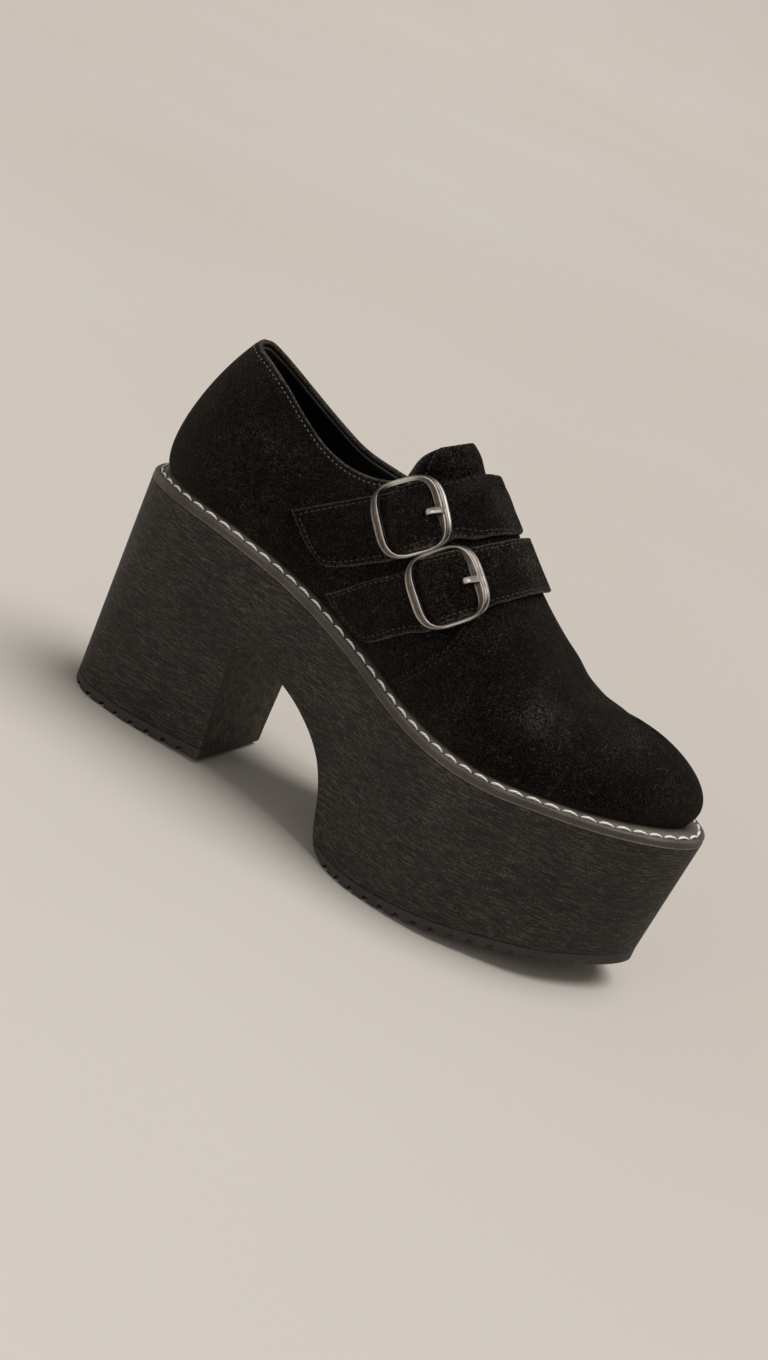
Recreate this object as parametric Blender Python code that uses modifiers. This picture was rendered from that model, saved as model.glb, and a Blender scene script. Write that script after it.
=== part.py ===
"""Closed platform shoe for the right foot, with two buckled straps over the instep.

The shoe is put together here as it is at the bench.  A sole unit carries heel, arch and
platform in one piece, and rubber treads are stuck under its heel and its forefoot.  A welt
goes round the top of the unit, the lasted upper stands on the welt, and an insole fills
the middle.  A tongue lies inside the throat, and each strap is threaded through a buckle
that has its bar in the middle.

+X points to the toe, +Y to the inner side of the foot and +Z up.  Lengths below are in
millimetres, and mesh_object turns them into metres.  The tables are measured from the
back of the welt, and the finished shoe stands with its origin under its middle.
"""

import math

import bpy
import numpy as np

MM = 0.001
LENGTH = 262.0  # back of the welt to the tip of the toe, for a foot of about 240
GAP = 0.3  # left between pieces that touch on the real shoe
WELT_THICK = 3.4
WELT_WIDE = 12.0
INSOLE_THICK = 3.0
TREAD_THICK = 4.5
WALL = 2.0  # suede with its lining
STRAP_THICK = 2.0
TONGUE_THICK = 2.0
TONGUE_POWER = 2.2  # how late its sides turn down
HEEL_ROUND = 42.0  # length over which the plan of the heel closes
TOE_ROUND = 78.0  # length over which the plan of the toe closes
TOE_SPRING = 14.0  # lift of the tread at the tip of the toe
SPRING_START = 165.0  # the forefoot is flat up to here
BREAST_LIFT = 2.0  # lift of the tread at the front edge of the heel
LIFT_START = 35.0  # the heel is flat up to here
HEEL_BREAST = 73.3  # front edge of the rubber under the heel
ARCH_MIDDLE = 110.0
LUG_PITCH = {"heel": 7.7, "forefoot": 7.0}  # from one cross groove to the next
FIRST_GROOVE = {"heel": 10.7, "forefoot": 148.6}
LAST_GROOVE = {"heel": 70.0, "forefoot": 250.0}
GROOVE_WIDE = 2.6
GROOVE_DEEP = 1.7
RIM_POINTS = 42  # points along each side of every plan line
UPPER_ROWS = 10
FEATHER_INSET = 4.4  # from the welt's edge to the foot of the upper
FEATHER_TOE = 1.8  # further in at the toe, where the welt is wider
INSOLE_INSET = 8.6  # clear of the inside of the upper
PLAN_STEPS = 1440  # points that a plan line is measured from before it is spaced out
CUT_REACH = 70.0  # half width of the cutters, past both sides of the shoe
SHARP = math.radians(38)  # a crease over this angle stays sharp
SECTION_POWER = 2.05  # 2 is an ellipse, and more is a squarer section
THROAT = 0.50  # share of each side where the topline reaches the ridge
DIP_START = 0.43  # from here to the throat the edge is cut lower, under the strap
THROAT_DIP = 0.16
EYE = 0.004  # step used to take the slope of the upper


def named(columns, rows):
    """A table as a dictionary, with one array for each named column."""
    return dict(zip(columns.split(), np.array(rows, float).T))


# Plan and height of the welt's top face, from the heel to the toe.
SOLE = named(
    "along centre half top",
    (
        (0, 0.0, 35.3, 97.2),
        (30, -0.6, 35.3, 96.2),
        (60, -1.8, 34.6, 92.8),
        (90, -3.3, 32.2, 87.0),
        (120, -5.0, 32.8, 77.7),
        (150, -5.4, 39.4, 67.9),
        (175, -4.3, 46.2, 65.4),
        (195, -2.5, 49.2, 66.3),
        (215, -1.0, 48.6, 68.7),
        (240, -2.2, 46.0, 70.8),
        (262, 1.8, 41.2, 71.4),
    ),
)

# How far in the foot of the sole unit's wall stands from the welt's edge.  The heel narrows
# downwards, and behind the ball the foot is wider than the waist above it.
FOOT = named(
    "along inset",
    (
        (0, 0.2),
        (8, 0.8),
        (14, 1.9),
        (24, 5.0),
        (36, 6.6),
        (54, 7.7),
        (75, 8.2),
        (100, 6.0),
        (120, 2.8),
        (134, 1.0),
        (142, -0.6),
        (150, -3.0),
        (160, -4.0),
        (171, -2.8),
        (184, -1.2),
        (198, 0.2),
        (214, 1.4),
        (232, 2.4),
        (248, 3.3),
        (262, 3.8),
    ),
)

# Side view of the hollow between the heel and the platform, from the floor at the heel's
# breast over the arch and down to the floor behind the ball of the foot.
ARCH = named(
    "along height",
    (
        (73.6, -4.0),
        (72.8, 23.5),
        (72.2, 48.5),
        (73.6, 53.1),
        (77.5, 54.9),
        (85.6, 53.7),
        (97.8, 49.9),
        (108.0, 45.1),
        (117.7, 38.7),
        (124.9, 31.5),
        (130.3, 22.1),
        (133.6, 12.9),
        (136.2, 6.7),
        (139.8, 2.4),
        (145.6, 0.2),
        (152.0, -4.0),
    ),
)

# Top of the upper: first the topline of the collar, then the ridge of instep and vamp.
# round is the share of the way along the feather line from heel to toe, turn is how many
# degrees of a quarter ellipse the section uses, and belly is how far it swells outwards.
TOP = named(
    "round along lateral lateral_top medial medial_top turn belly",
    (
        (0.00, 18.6, 0.0, 158.5, 0.0, 158.5, 52, 2.6),
        (0.05, 20.4, -6.2, 158.1, 6.0, 157.7, 52, 2.6),
        (0.10, 25.4, -10.4, 156.7, 10.2, 154.9, 53, 2.4),
        (0.15, 33.6, -13.2, 154.3, 12.9, 150.7, 54, 2.2),
        (0.20, 44.6, -15.2, 149.4, 14.6, 145.5, 55, 2.0),
        (0.25, 57.4, -16.6, 142.4, 15.6, 140.1, 56, 1.8),
        (0.30, 70.4, -17.6, 136.7, 16.2, 135.5, 58, 1.6),
        (0.35, 83.4, -18.6, 134.7, 16.6, 133.7, 61, 1.6),
        (0.40, 97.0, -18.8, 136.7, 16.4, 134.9, 66, 1.6),
        (0.45, 115.0, -13.2, 144.3, 14.4, 143.1, 78, 1.6),
        (0.50, 131.0, 2.0, 151.1, 2.0, 151.1, 90, 1.6),
        (0.56, 148.2, 2.6, 136.3, 2.6, 136.3, 90, 1.6),
        (0.62, 165.2, 3.0, 120.9, 3.0, 120.9, 90, 1.6),
        (0.68, 179.6, 3.4, 109.3, 3.4, 109.3, 90, 1.6),
        (0.74, 191.4, 3.8, 99.5, 3.8, 99.5, 90, 1.6),
        (0.80, 203.0, 4.0, 95.8, 4.0, 95.8, 90, 1.6),
        (0.88, 213.6, 4.2, 96.4, 4.2, 96.4, 90, 1.6),
        (1.00, 221.6, 4.4, 97.2, 4.4, 97.2, 90, 1.6),
    ),
)

# The tongue from its end inside the vamp up to its top edge.  back and drop are how far
# its side edges lie behind and below its middle line.
TONGUE = named(
    "along height half back drop",
    (
        (152.0, 128.7, 13.0, 8.0, 12.0),
        (146.0, 133.5, 13.0, 10.0, 12.0),
        (139.0, 139.7, 13.0, 12.0, 11.8),
        (131.6, 145.1, 13.0, 14.6, 11.8),
        (125.2, 151.4, 13.2, 16.8, 11.2),
        (120.6, 156.7, 14.4, 15.0, 9.8),
        (116.4, 159.7, 14.6, 11.0, 8.0),
        (114.6, 160.7, 11.4, 6.6, 4.6),
    ),
)

# Each strap as its two edges on the upper, from the tip on the outer side over the ridge
# to the end on the inner side.  round is as in TOP, and wrap runs from 0 at the outer
# feather line over 1 at the ridge to 2 at the inner feather line.
STRAP_COLUMNS = "upper_round upper_wrap lower_round lower_wrap"
STRAPS = {
    "upper": named(
        STRAP_COLUMNS,
        (
            (0.291, 0.406, 0.355, 0.205),
            (0.339, 0.632, 0.407, 0.345),
            (0.394, 0.830, 0.447, 0.415),
            (0.431, 0.895, 0.476, 0.468),
            (0.456, 0.930, 0.503, 0.525),
            (0.480, 0.960, 0.534, 0.690),
            (0.497, 1.020, 0.557, 1.010),
            (0.484, 1.070, 0.534, 1.310),
            (0.458, 1.120, 0.503, 1.475),
            (0.428, 1.170, 0.474, 1.545),
            (0.388, 1.280, 0.440, 1.620),
        ),
    ),
    "lower": named(
        STRAP_COLUMNS,
        (
            (0.383, 0.115, 0.450, 0.030),
            (0.427, 0.283, 0.490, 0.110),
            (0.477, 0.373, 0.5185, 0.191),
            (0.513, 0.483, 0.543, 0.293),
            (0.541, 0.689, 0.572, 0.475),
            (0.556, 0.855, 0.604, 0.692),
            (0.562, 1.050, 0.621, 1.040),
            (0.552, 1.260, 0.606, 1.310),
            (0.530, 1.440, 0.580, 1.500),
            (0.492, 1.600, 0.548, 1.660),
        ),
    ),
}

# Middle of each buckle on the upper, and the way that the strap runs through it.
BUCKLES = {
    "upper": {"round": 0.450, "wrap": 0.652, "along": (0.759, 0.284, 0.586)},
    "lower": {"round": 0.535, "wrap": 0.425, "along": (0.713, 0.400, 0.577)},
}
TIP_ROUND = {"upper": 0.03, "lower": 0.09}  # how far the tip's lower corner is cut back
FRAME_LONG = 31.2  # along the strap
FRAME_WIDE = 29.6  # across it
SIDE_BAR = 4.2
END_BAR = 2.0
FRAME_CORNER = 3.6  # power of the rounded square that the frame follows
FRAME_LIFT = 2.9  # underside of the frame above the upper
BAR_RADIUS = 0.8
STRAP_RISE = 3.0  # how far the strap climbs to pass over the bar
RISE_FLAT = 6.6  # half length of the raised stretch
RISE_END = 10.5
DRAW_IN = 8.0  # length over which the strap narrows on its way into the buckle
STRAP_SEAT = 0.45  # underside of the strap over the upper
STRAP_ROOM = 2.05  # between the strap's edge and the frame beside it
STRAP_STEPS = 40
PRONG_RADIUS = 1.15

HOLE_AT = 5.3  # the prong's hole, from the middle of the buckle
HOLE_LONG = 2.2
HOLE_WIDE = 1.5
HOLE_DEEP = 14.0

# Section across one bar of the frame, from its outer lower edge round over the top.
# inwards is the share of the bar's width, from its outer edge to its inner edge.
FRAME_SECTION = named(
    "inwards height",
    (
        (0.10, 0.0),
        (0.00, 0.6),
        (0.08, 1.5),
        (0.36, 2.2),
        (0.66, 2.1),
        (0.94, 1.3),
        (1.00, 0.6),
        (0.90, 0.0),
    ),
)

# Middle line of the buckle's own bar, from side to side under the frame.
BAR = named(
    "share height",
    (
        (-1.00, 3.9),
        (-1.00, 1.9),
        (-0.91, 1.25),
        (0.91, 1.25),
        (1.00, 1.9),
        (1.00, 3.9),
    ),
)

# Middle line of the prong, from its loop at the bar up through the hole and over the frame.
PRONG = named(
    "along height",
    (
        (1.3, 1.5),
        (3.4, 1.5),
        (4.6, 2.6),
        (5.4, 5.2),
        (6.4, 6.9),
        (8.0, 7.1),
        (10.2, 6.8),
        (12.9, 6.4),
    ),
)

# Section of the welt: how far in from its edge, and the height over its underside.
WELT_SECTION = named(
    "inset height",
    (
        (0.3, 0.0),
        (0.0, 0.4),
        (0.0, WELT_THICK - 0.4),
        (0.4, WELT_THICK),
        (WELT_WIDE, WELT_THICK),
        (WELT_WIDE, 0.0),
    ),
)


def smooth(at, along, values):
    """A cubic through every row, with each slope taken from the rows on either side."""
    slope = np.gradient(values, along)
    at = np.clip(at, along[0], along[-1])
    i = np.clip(np.searchsorted(along, at) - 1, 0, len(along) - 2)
    step = along[i + 1] - along[i]
    t = (at - along[i]) / step
    left = values[i] * (1 + 2 * t) * (1 - t) ** 2 + slope[i] * step * t * (1 - t) ** 2
    right = values[i + 1] * t**2 * (3 - 2 * t) - slope[i + 1] * step * t**2 * (1 - t)
    return left + right


def through_rows(table, columns, count):
    """`count` points on a smooth line through the rows of a table, as its named columns."""
    row = np.arange(len(next(iter(table.values()))))
    at = np.linspace(0, row[-1], count)
    return [smooth(at, row, table[name]) for name in columns.split()]


def ease(start, end, at):
    """0 up to start, 1 from end on, and an even S between."""
    t = np.clip((at - start) / (end - start), 0, 1)
    return t * t * (3 - 2 * t)


def welt_top(x):
    return smooth(x, SOLE["along"], SOLE["top"])


def ground(x):
    """Underside of the tread: flat under heel and ball, and rising to the breast and the toe."""
    heel = BREAST_LIFT * ease(LIFT_START, HEEL_BREAST + 8, x)
    toe = TOE_SPRING * np.clip((x - SPRING_START) / (LENGTH - SPRING_START), 0, None) ** 1.5
    return np.where(x < ARCH_MIDDLE, heel, toe)


def foot_inset(x):
    return smooth(x, FOOT["along"], FOOT["inset"])


def side_lines(inset, count=RIM_POINTS):
    """The plan line `inset` inside the welt's edge, as its outer and its inner side.

    Each side is count + 1 rows of x, y and the outward normal, from the heel to the toe.
    """
    turn = np.linspace(0, 2 * math.pi, PLAN_STEPS, endpoint=False)
    x = LENGTH / 2 * (1 - np.cos(turn))
    heel = np.sqrt(1 - (1 - np.clip(x / HEEL_ROUND, 0, 1)) ** 2)
    toe = np.sqrt(1 - np.clip((x - LENGTH + TOE_ROUND) / TOE_ROUND, 0, 1) ** 2)
    half = smooth(x, SOLE["along"], SOLE["half"]) * heel * toe
    y = smooth(x, SOLE["along"], SOLE["centre"]) - np.where(turn < math.pi, half, -half)
    line = np.stack([x, y], 1)
    ahead = np.roll(line, -1, 0) - np.roll(line, 1, 0)
    normal = np.stack([ahead[:, 1], -ahead[:, 0]], 1)
    normal /= np.linalg.norm(normal, axis=1)[:, None]
    if np.mean(normal[:, 1] * (turn < math.pi)) > 0:
        normal = -normal
    depth = inset(x) if callable(inset) else np.full(len(x), float(inset))
    line = line - normal * depth[:, None]
    rows = np.concatenate([line, normal], 1)
    middle = len(rows) // 2
    outer = rows[: middle + 1]
    inner = np.concatenate([rows[middle:], rows[:1]])[::-1]
    return spaced(outer, count), spaced(inner, count)


def spaced(rows, count):
    """The same line with its points at even steps of length."""
    steps = np.linalg.norm(np.diff(rows[:, :2], axis=0), axis=1)
    travelled = np.concatenate([[0], np.cumsum(steps)])
    even = np.linspace(0, travelled[-1], count + 1)
    return np.stack([np.interp(even, travelled, column) for column in rows.T], 1)


def closed_line(inset):
    """The plan line as one loop: out along the outer side and back along the inner side."""
    outer, inner = side_lines(inset)
    return np.concatenate([outer, inner[-2:0:-1]])


def mesh_object(name, points, faces, look=None, helper=False):
    """A mesh in the part's own frame: table millimetres less the middle of the shoe."""
    mesh = bpy.data.meshes.new(name)
    shifted = (np.asarray(points, float) - MIDDLE) * MM
    mesh.from_pydata(shifted.tolist(), [], [tuple(face) for face in faces])
    mesh.validate()
    obj = bpy.data.objects.new(name, mesh)
    finish(obj, look, helper)
    return obj


def finish(obj, look, helper):
    """Puts a new object in its collection, as a wire helper or with its material."""
    (cutters if helper else shoe).objects.link(obj)
    if helper:
        obj.hide_render = True
        obj.display_type = "WIRE"
        return
    mesh = obj.data
    mesh.materials.clear()
    mesh.materials.append(look)
    mesh.polygons.foreach_set("use_smooth", [True] * len(mesh.polygons))
    mesh.set_sharp_from_angle(angle=SHARP)


def material(name, colour, roughness, metallic=0.0):
    made = bpy.data.materials.new(name)
    made.use_nodes = True
    shader = made.node_tree.nodes["Principled BSDF"]
    shader.inputs["Base Color"].default_value = (*colour, 1)
    shader.inputs["Roughness"].default_value = roughness
    shader.inputs["Metallic"].default_value = metallic
    made.diffuse_color = (*colour, 1)
    return made


def grid_faces(rows, columns, start=0):
    """Quads of a grid whose points are counted row by row."""
    return [
        (start + r * columns + c, start + r * columns + c + 1,
         start + (r + 1) * columns + c + 1, start + (r + 1) * columns + c)
        for r in range(rows - 1)
        for c in range(columns - 1)
    ]


def band_faces(rows, columns, closed_rows=False):
    """Quads between loops of points, each loop closed on itself."""
    faces = []
    for r in range(rows if closed_rows else rows - 1):
        here = r * columns
        after = (r + 1) % rows * columns
        for c in range(columns):
            d = (c + 1) % columns
            faces.append((here + c, after + c, after + d, here + d))
    return faces


def loops_at(rows):
    """Stacks plan loops into points.  Each row is an inset and a height for each x."""
    loops = []
    for inset, height in rows:
        line = closed_line(inset)
        loops.append(np.column_stack([line[:, :2], height(line[:, 0])]))
    return loops


def ladder(count, start):
    """Faces that close a loop straight across, from the outer side to the inner side."""
    half = count // 2
    faces = [(start, start + 1, start + count - 1)]
    for i in range(1, half - 1):
        faces.append((start + i, start + i + 1, start + count - i - 1, start + count - i))
    faces.append((start + half - 1, start + half, start + half + 1))
    return faces


def slab(name, rows, look):
    """A solid whose wall follows plan loops, from the lowest row to the highest."""
    loops = loops_at(rows)
    count = len(loops[0])
    faces = band_faces(len(loops), count)
    bottom = ladder(count, 0)
    top = ladder(count, (len(loops) - 1) * count)
    faces += bottom + [face[::-1] for face in top]
    obj = mesh_object(name, np.concatenate(loops), faces, look)
    face_outwards(obj)
    return obj


def face_outwards(obj):
    """Turns every face round where the mesh encloses a negative volume."""
    mesh = obj.data
    mesh.calc_loop_triangles()
    corners = np.empty(len(mesh.vertices) * 3)
    mesh.vertices.foreach_get("co", corners)
    corners = corners.reshape(-1, 3)
    index = np.array([tuple(t.vertices) for t in mesh.loop_triangles])
    a, b, c = (corners[index[:, k]] for k in range(3))
    if np.einsum("ij,ij->i", a, np.cross(b, c)).sum() < 0:
        mesh.flip_normals()


def box_helper(name, low, high):
    """A box between two corners, used to cut a piece."""
    low, high = np.array(low, float), np.array(high, float)
    corners = [low + (high - low) * (i & 1, i >> 1 & 1, i >> 2) for i in range(8)]
    faces = ((0, 2, 3, 1), (4, 5, 7, 6), (0, 1, 5, 4), (2, 6, 7, 3), (0, 4, 6, 2), (1, 3, 7, 5))
    return mesh_object(name, corners, faces, helper=True)


def cut(obj, cutter, operation="DIFFERENCE"):
    change = obj.modifiers.new(cutter.name, "BOOLEAN")
    change.operation = operation
    change.object = cutter
    change.solver = "EXACT"


def arch_cutter():
    """The hollow under the arch, drawn as a flat curve and extruded across the shoe."""
    x, z = through_rows(ARCH, "along height", 40)
    curve = bpy.data.curves.new("arch_hollow", "CURVE")
    curve.dimensions = "2D"
    curve.fill_mode = "BOTH"
    curve.extrude = CUT_REACH * MM
    line = curve.splines.new("POLY")
    line.points.add(len(x) - 1)
    for point, px, pz in zip(line.points, x, z):
        point.co = ((px - MIDDLE[0]) * MM, pz * MM, 0, 1)
    line.use_cyclic_u = True
    drawn = bpy.data.objects.new("arch_curve", curve)
    cutters.objects.link(drawn)
    mesh = bpy.data.meshes.new_from_object(drawn)
    bpy.data.objects.remove(drawn)
    hollow = bpy.data.objects.new("arch_hollow", mesh)
    finish(hollow, None, helper=True)
    hollow.rotation_euler = (math.radians(90), 0, 0)
    weld(hollow)
    return hollow


def weld(obj):
    join = obj.modifiers.new("weld", "WELD")
    join.merge_threshold = 0.00001


def grooves(where):
    """Cross grooves, wider at the mouth, that leave the tread standing as lugs."""
    points = []
    faces = []
    mouth = GROOVE_WIDE / 2
    floor = mouth * 0.8
    for x in np.arange(FIRST_GROOVE[where], LAST_GROOVE[where], LUG_PITCH[where]):
        low = ground(x) - GROOVE_DEEP
        top = ground(x) + GROOVE_DEEP
        start = len(points)
        for y in (-CUT_REACH, CUT_REACH):
            points += [(x - mouth, y, low), (x + mouth, y, low), (x + floor, y, top), (x - floor, y, top)]
        faces += [tuple(range(start, start + 4)), tuple(range(start + 7, start + 3, -1))]
        for i in range(4):
            j = (i + 1) % 4
            faces.append((start + i, start + i + 4, start + j + 4, start + j))
    return mesh_object(where + "_grooves", points, faces, helper=True)


# ---- the upper and what lies on it ----


def feather_line():
    """The line where the upper meets the welt, on each side from heel to toe."""
    return side_lines(lambda x: FEATHER_INSET + FEATHER_TOE * ease(190, 255, x), 400)


def topline(side, share, ending):
    """A column of TOP for one side, and the same for both sides in front of the throat."""
    outer = smooth(share, TOP["round"], TOP["lateral" + ending])
    inner = smooth(share, TOP["round"], TOP["medial" + ending])
    own = outer if side < 0 else inner
    return np.where(share < THROAT, own, (outer + inner) / 2)


def upper_at(side, share, rise):
    """A point of the upper's outer face.

    side is -1 for the outer and 1 for the inner side, share runs from heel to toe along
    the feather line, and rise from 0 at the feather line to 1 at the topline or ridge.
    The section is the part of a quarter superellipse that turns by the angle in TOP.
    """
    line = FEATHER[0] if side < 0 else FEATHER[1]
    even = np.linspace(0, 1, len(line))
    foot_x, foot_y, out_x, out_y = (np.interp(share, even, column) for column in line.T)
    foot_z = welt_top(foot_x) + GAP
    top_x = smooth(share, TOP["round"], TOP["along"])
    turn = smooth(share, TOP["round"], TOP["turn"])
    belly = smooth(share, TOP["round"], TOP["belly"])
    top_y = topline(side, share, "")
    top_z = topline(side, share, "_top")
    turn = np.radians(np.minimum(turn, 90))
    angle = turn * rise
    power = 2 / SECTION_POWER
    inwards = (1 - np.cos(angle) ** power) / (1 - np.cos(turn) ** power)
    up = np.sin(angle) ** power / np.sin(turn) ** power
    swell = belly * np.sin(math.pi * np.sqrt(up))
    x = foot_x + (top_x - foot_x) * inwards + out_x * swell
    y = foot_y + (top_y - foot_y) * inwards + out_y * swell
    return np.stack([x, y, foot_z + (top_z - foot_z) * up], -1)


def on_upper(share, wrap):
    """A point of the outer face, with wrap from 0 over 1 at the ridge to 2."""
    share, wrap = np.broadcast_arrays(np.asarray(share, float), np.asarray(wrap, float))
    outer = upper_at(-1, share, np.clip(wrap, 0, 1))
    inner = upper_at(1, share, np.clip(2 - wrap, 0, 1))
    return np.where((wrap <= 1)[..., None], outer, inner)


def off_upper(share, wrap, height):
    """A point `height` off the outer face, along the face's own normal."""
    along = on_upper(share + EYE, wrap) - on_upper(share - EYE, wrap)
    round_it = on_upper(share, wrap + EYE * 4) - on_upper(share, wrap - EYE * 4)
    normal = np.cross(along, round_it)
    normal /= np.linalg.norm(normal, axis=-1)[..., None]
    return on_upper(share, wrap) + normal * np.asarray(height)[..., None]


def make_upper():
    """One skin from the feather line to the topline, and over the ridge in front."""
    shares = np.linspace(0, 1, RIM_POINTS + 1)
    shares[np.argmin(abs(shares - THROAT))] = THROAT
    dip = np.clip((shares - DIP_START) / (THROAT - DIP_START), 0, 1)
    height = 1 - THROAT_DIP * np.sin(math.pi * dip) ** 0.8
    rises = np.linspace(0, 1, UPPER_ROWS + 1)[None, :] * height[:, None]
    outer = upper_at(-1, shares[:, None], rises)
    inner = upper_at(1, shares[:, None], rises)
    skin = np.concatenate([outer, inner[-2:0:-1]]).transpose(1, 0, 2)
    rows, columns = skin.shape[:2]
    obj = mesh_object("upper", skin.reshape(-1, 3), band_faces(rows, columns), SUEDE)
    weld(obj)
    wall = obj.modifiers.new("wall", "SOLIDIFY")
    wall.thickness = WALL * MM
    wall.offset = -1
    return obj


def sheet_between(name, under, over, look):
    """A closed body between two grids of the same size."""
    rows, columns = under.shape[:2]
    points = np.concatenate([under.reshape(-1, 3), over.reshape(-1, 3)])
    lower = grid_faces(rows, columns)
    upper = [tuple(i + rows * columns for i in face[::-1]) for face in lower]
    edge = [r * columns for r in range(rows)]
    edge += [(rows - 1) * columns + c for c in range(1, columns)]
    edge += [r * columns + columns - 1 for r in range(rows - 2, -1, -1)]
    edge += list(range(columns - 2, 0, -1))
    shift = rows * columns
    rim = [(a, b, b + shift, a + shift) for a, b in zip(edge, edge[1:] + edge[:1])]
    obj = mesh_object(name, points, lower + upper + rim, look)
    face_outwards(obj)
    return obj


def make_tongue():
    """The tongue, curved over the instep and sunk under the vamp at its lower end."""
    line = through_rows(TONGUE, "along height half back drop", 14)
    x, z, half, back, drop = (column[:, None] for column in line)
    across = np.linspace(-1, 1, 13)
    bend = abs(across) ** TONGUE_POWER
    outer = np.stack([x - back * bend, half * across, z - drop * bend], -1)
    along = np.gradient(outer, axis=0)
    sideways = np.gradient(outer, axis=1)
    normal = np.cross(along, sideways)
    normal /= np.linalg.norm(normal, axis=-1)[..., None]
    normal *= np.sign(normal[..., 2:].mean())
    return sheet_between("tongue", outer - normal * TONGUE_THICK, outer, SUEDE)


def buckle_axes(which):
    """The buckle's middle on the upper, and its directions along, across and away."""
    place = BUCKLES[which]
    share = np.array(place["round"])
    wrap = np.array(place["wrap"])
    centre = on_upper(share, wrap)
    away = off_upper(share, wrap, 1.0) - centre
    along = np.array(place["along"])
    along = along - away * (along @ away)
    along /= np.linalg.norm(along)
    return centre, along, np.cross(away, along), away


def strap_place(which, along, across):
    """Share and wrap of a place on a strap, both counted from 0 to 1."""
    table = STRAPS[which]
    row = np.linspace(0, 1, len(table["upper_round"]))
    edges = [smooth(along, row, table[name]) for name in STRAP_COLUMNS.split()]
    share = edges[0] * (1 - across) + edges[2] * across
    wrap = edges[1] * (1 - across) + edges[3] * across
    return share, wrap


def make_strap(which):
    """A strap laid on the upper, drawn in and lifted where it passes over the buckle's bar.

    The points are first laid out flat in along and across.  Beside the buckle they are
    pulled in across, until the strap fits between the two thin bars of the frame.
    """
    across = np.linspace(0, 1, 8)[None, :]
    corner = np.clip((across - 0.45) / 0.55, 0, 0.999)
    start = TIP_ROUND[which] * (1 - np.sqrt(1 - corner**2))
    along = start + (1 - start) * np.linspace(0, 1, STRAP_STEPS)[:, None] ** 0.9
    across = np.broadcast_to(across, along.shape)
    centre, ahead, sideways, _ = buckle_axes(which)
    share, wrap = strap_place(which, along, across)
    flat = on_upper(share, wrap) - centre
    reach = flat @ sideways
    room = FRAME_WIDE / 2 - END_BAR - STRAP_ROOM
    beside = 1 - ease(RISE_END, RISE_END + DRAW_IN, abs(flat @ ahead))
    width = np.gradient(reach, axis=1) / np.gradient(across, axis=1)
    across = across + (np.clip(reach, -room, room) - reach) / width * beside
    share, wrap = strap_place(which, along, across)
    flat = on_upper(share, wrap) - centre
    distance = abs(flat @ ahead) + 0.4 * np.clip(abs(flat @ sideways) - 7, 0, None)
    rise = STRAP_SEAT + STRAP_RISE * (1 - ease(RISE_FLAT, RISE_END, distance))
    under = off_upper(share, wrap, rise)
    over = off_upper(share, wrap, rise + STRAP_THICK)
    obj = sheet_between("strap_" + which, under, over, SUEDE)
    cut(obj, hole_cutter(which))
    return obj


def placed(which, local):
    """Points given along, across and away from the buckle's middle, put in the shoe's frame."""
    centre, along, across, away = buckle_axes(which)
    local = np.asarray(local, float)
    return centre + local[..., :1] * along + local[..., 1:2] * across + local[..., 2:] * away


def hole_cutter(which):
    """An oval peg where the prong comes up through the strap."""
    turn = np.linspace(0, 2 * math.pi, 16, endpoint=False)
    ring = np.stack([HOLE_AT + HOLE_LONG * np.cos(turn), HOLE_WIDE * np.sin(turn), 0 * turn], 1)
    points = np.concatenate([ring, ring + (0, 0, HOLE_DEEP)])
    faces = band_faces(2, len(turn)) + [tuple(range(16)), tuple(range(31, 15, -1))]
    obj = mesh_object("hole_" + which, placed(which, points), faces, helper=True)
    face_outwards(obj)
    return obj


def rounded_square(turn, long, wide):
    """Points of a superellipse, whose corners get tighter as FRAME_CORNER grows."""
    power = 2 / FRAME_CORNER
    x = long / 2 * np.sign(np.cos(turn)) * abs(np.cos(turn)) ** power
    y = wide / 2 * np.sign(np.sin(turn)) * abs(np.sin(turn)) ** power
    return np.stack([x, y], -1)


def make_frame(which):
    """The buckle's frame, swept round a rounded square, with its bar joined in."""
    turn = np.linspace(0, 2 * math.pi, 44, endpoint=False)
    outer = rounded_square(turn, FRAME_LONG, FRAME_WIDE)
    inner = rounded_square(turn, FRAME_LONG - 2 * SIDE_BAR, FRAME_WIDE - 2 * END_BAR)
    loops = []
    for inwards, height in zip(FRAME_SECTION["inwards"], FRAME_SECTION["height"]):
        flat = outer * (1 - inwards) + inner * inwards
        loops.append(np.column_stack([flat, np.full(len(flat), FRAME_LIFT + height)]))
    local = np.concatenate(loops)
    faces = band_faces(len(loops), len(turn), closed_rows=True)
    obj = mesh_object("buckle_frame_" + which, placed(which, local), faces, NICKEL)
    face_outwards(obj)
    reach = (FRAME_WIDE - END_BAR) / 2
    path = np.stack([0 * BAR["share"], reach * BAR["share"], BAR["height"]], 1)
    cut(obj, rod("bar_" + which, placed(which, path), BAR_RADIUS, helper=True), "UNION")
    return obj


def make_prong(which):
    x, z = through_rows(PRONG, "along height", 16)
    path = placed(which, np.stack([x, 0 * x, z], 1))
    return rod("buckle_prong_" + which, path, PRONG_RADIUS, NICKEL)


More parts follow.
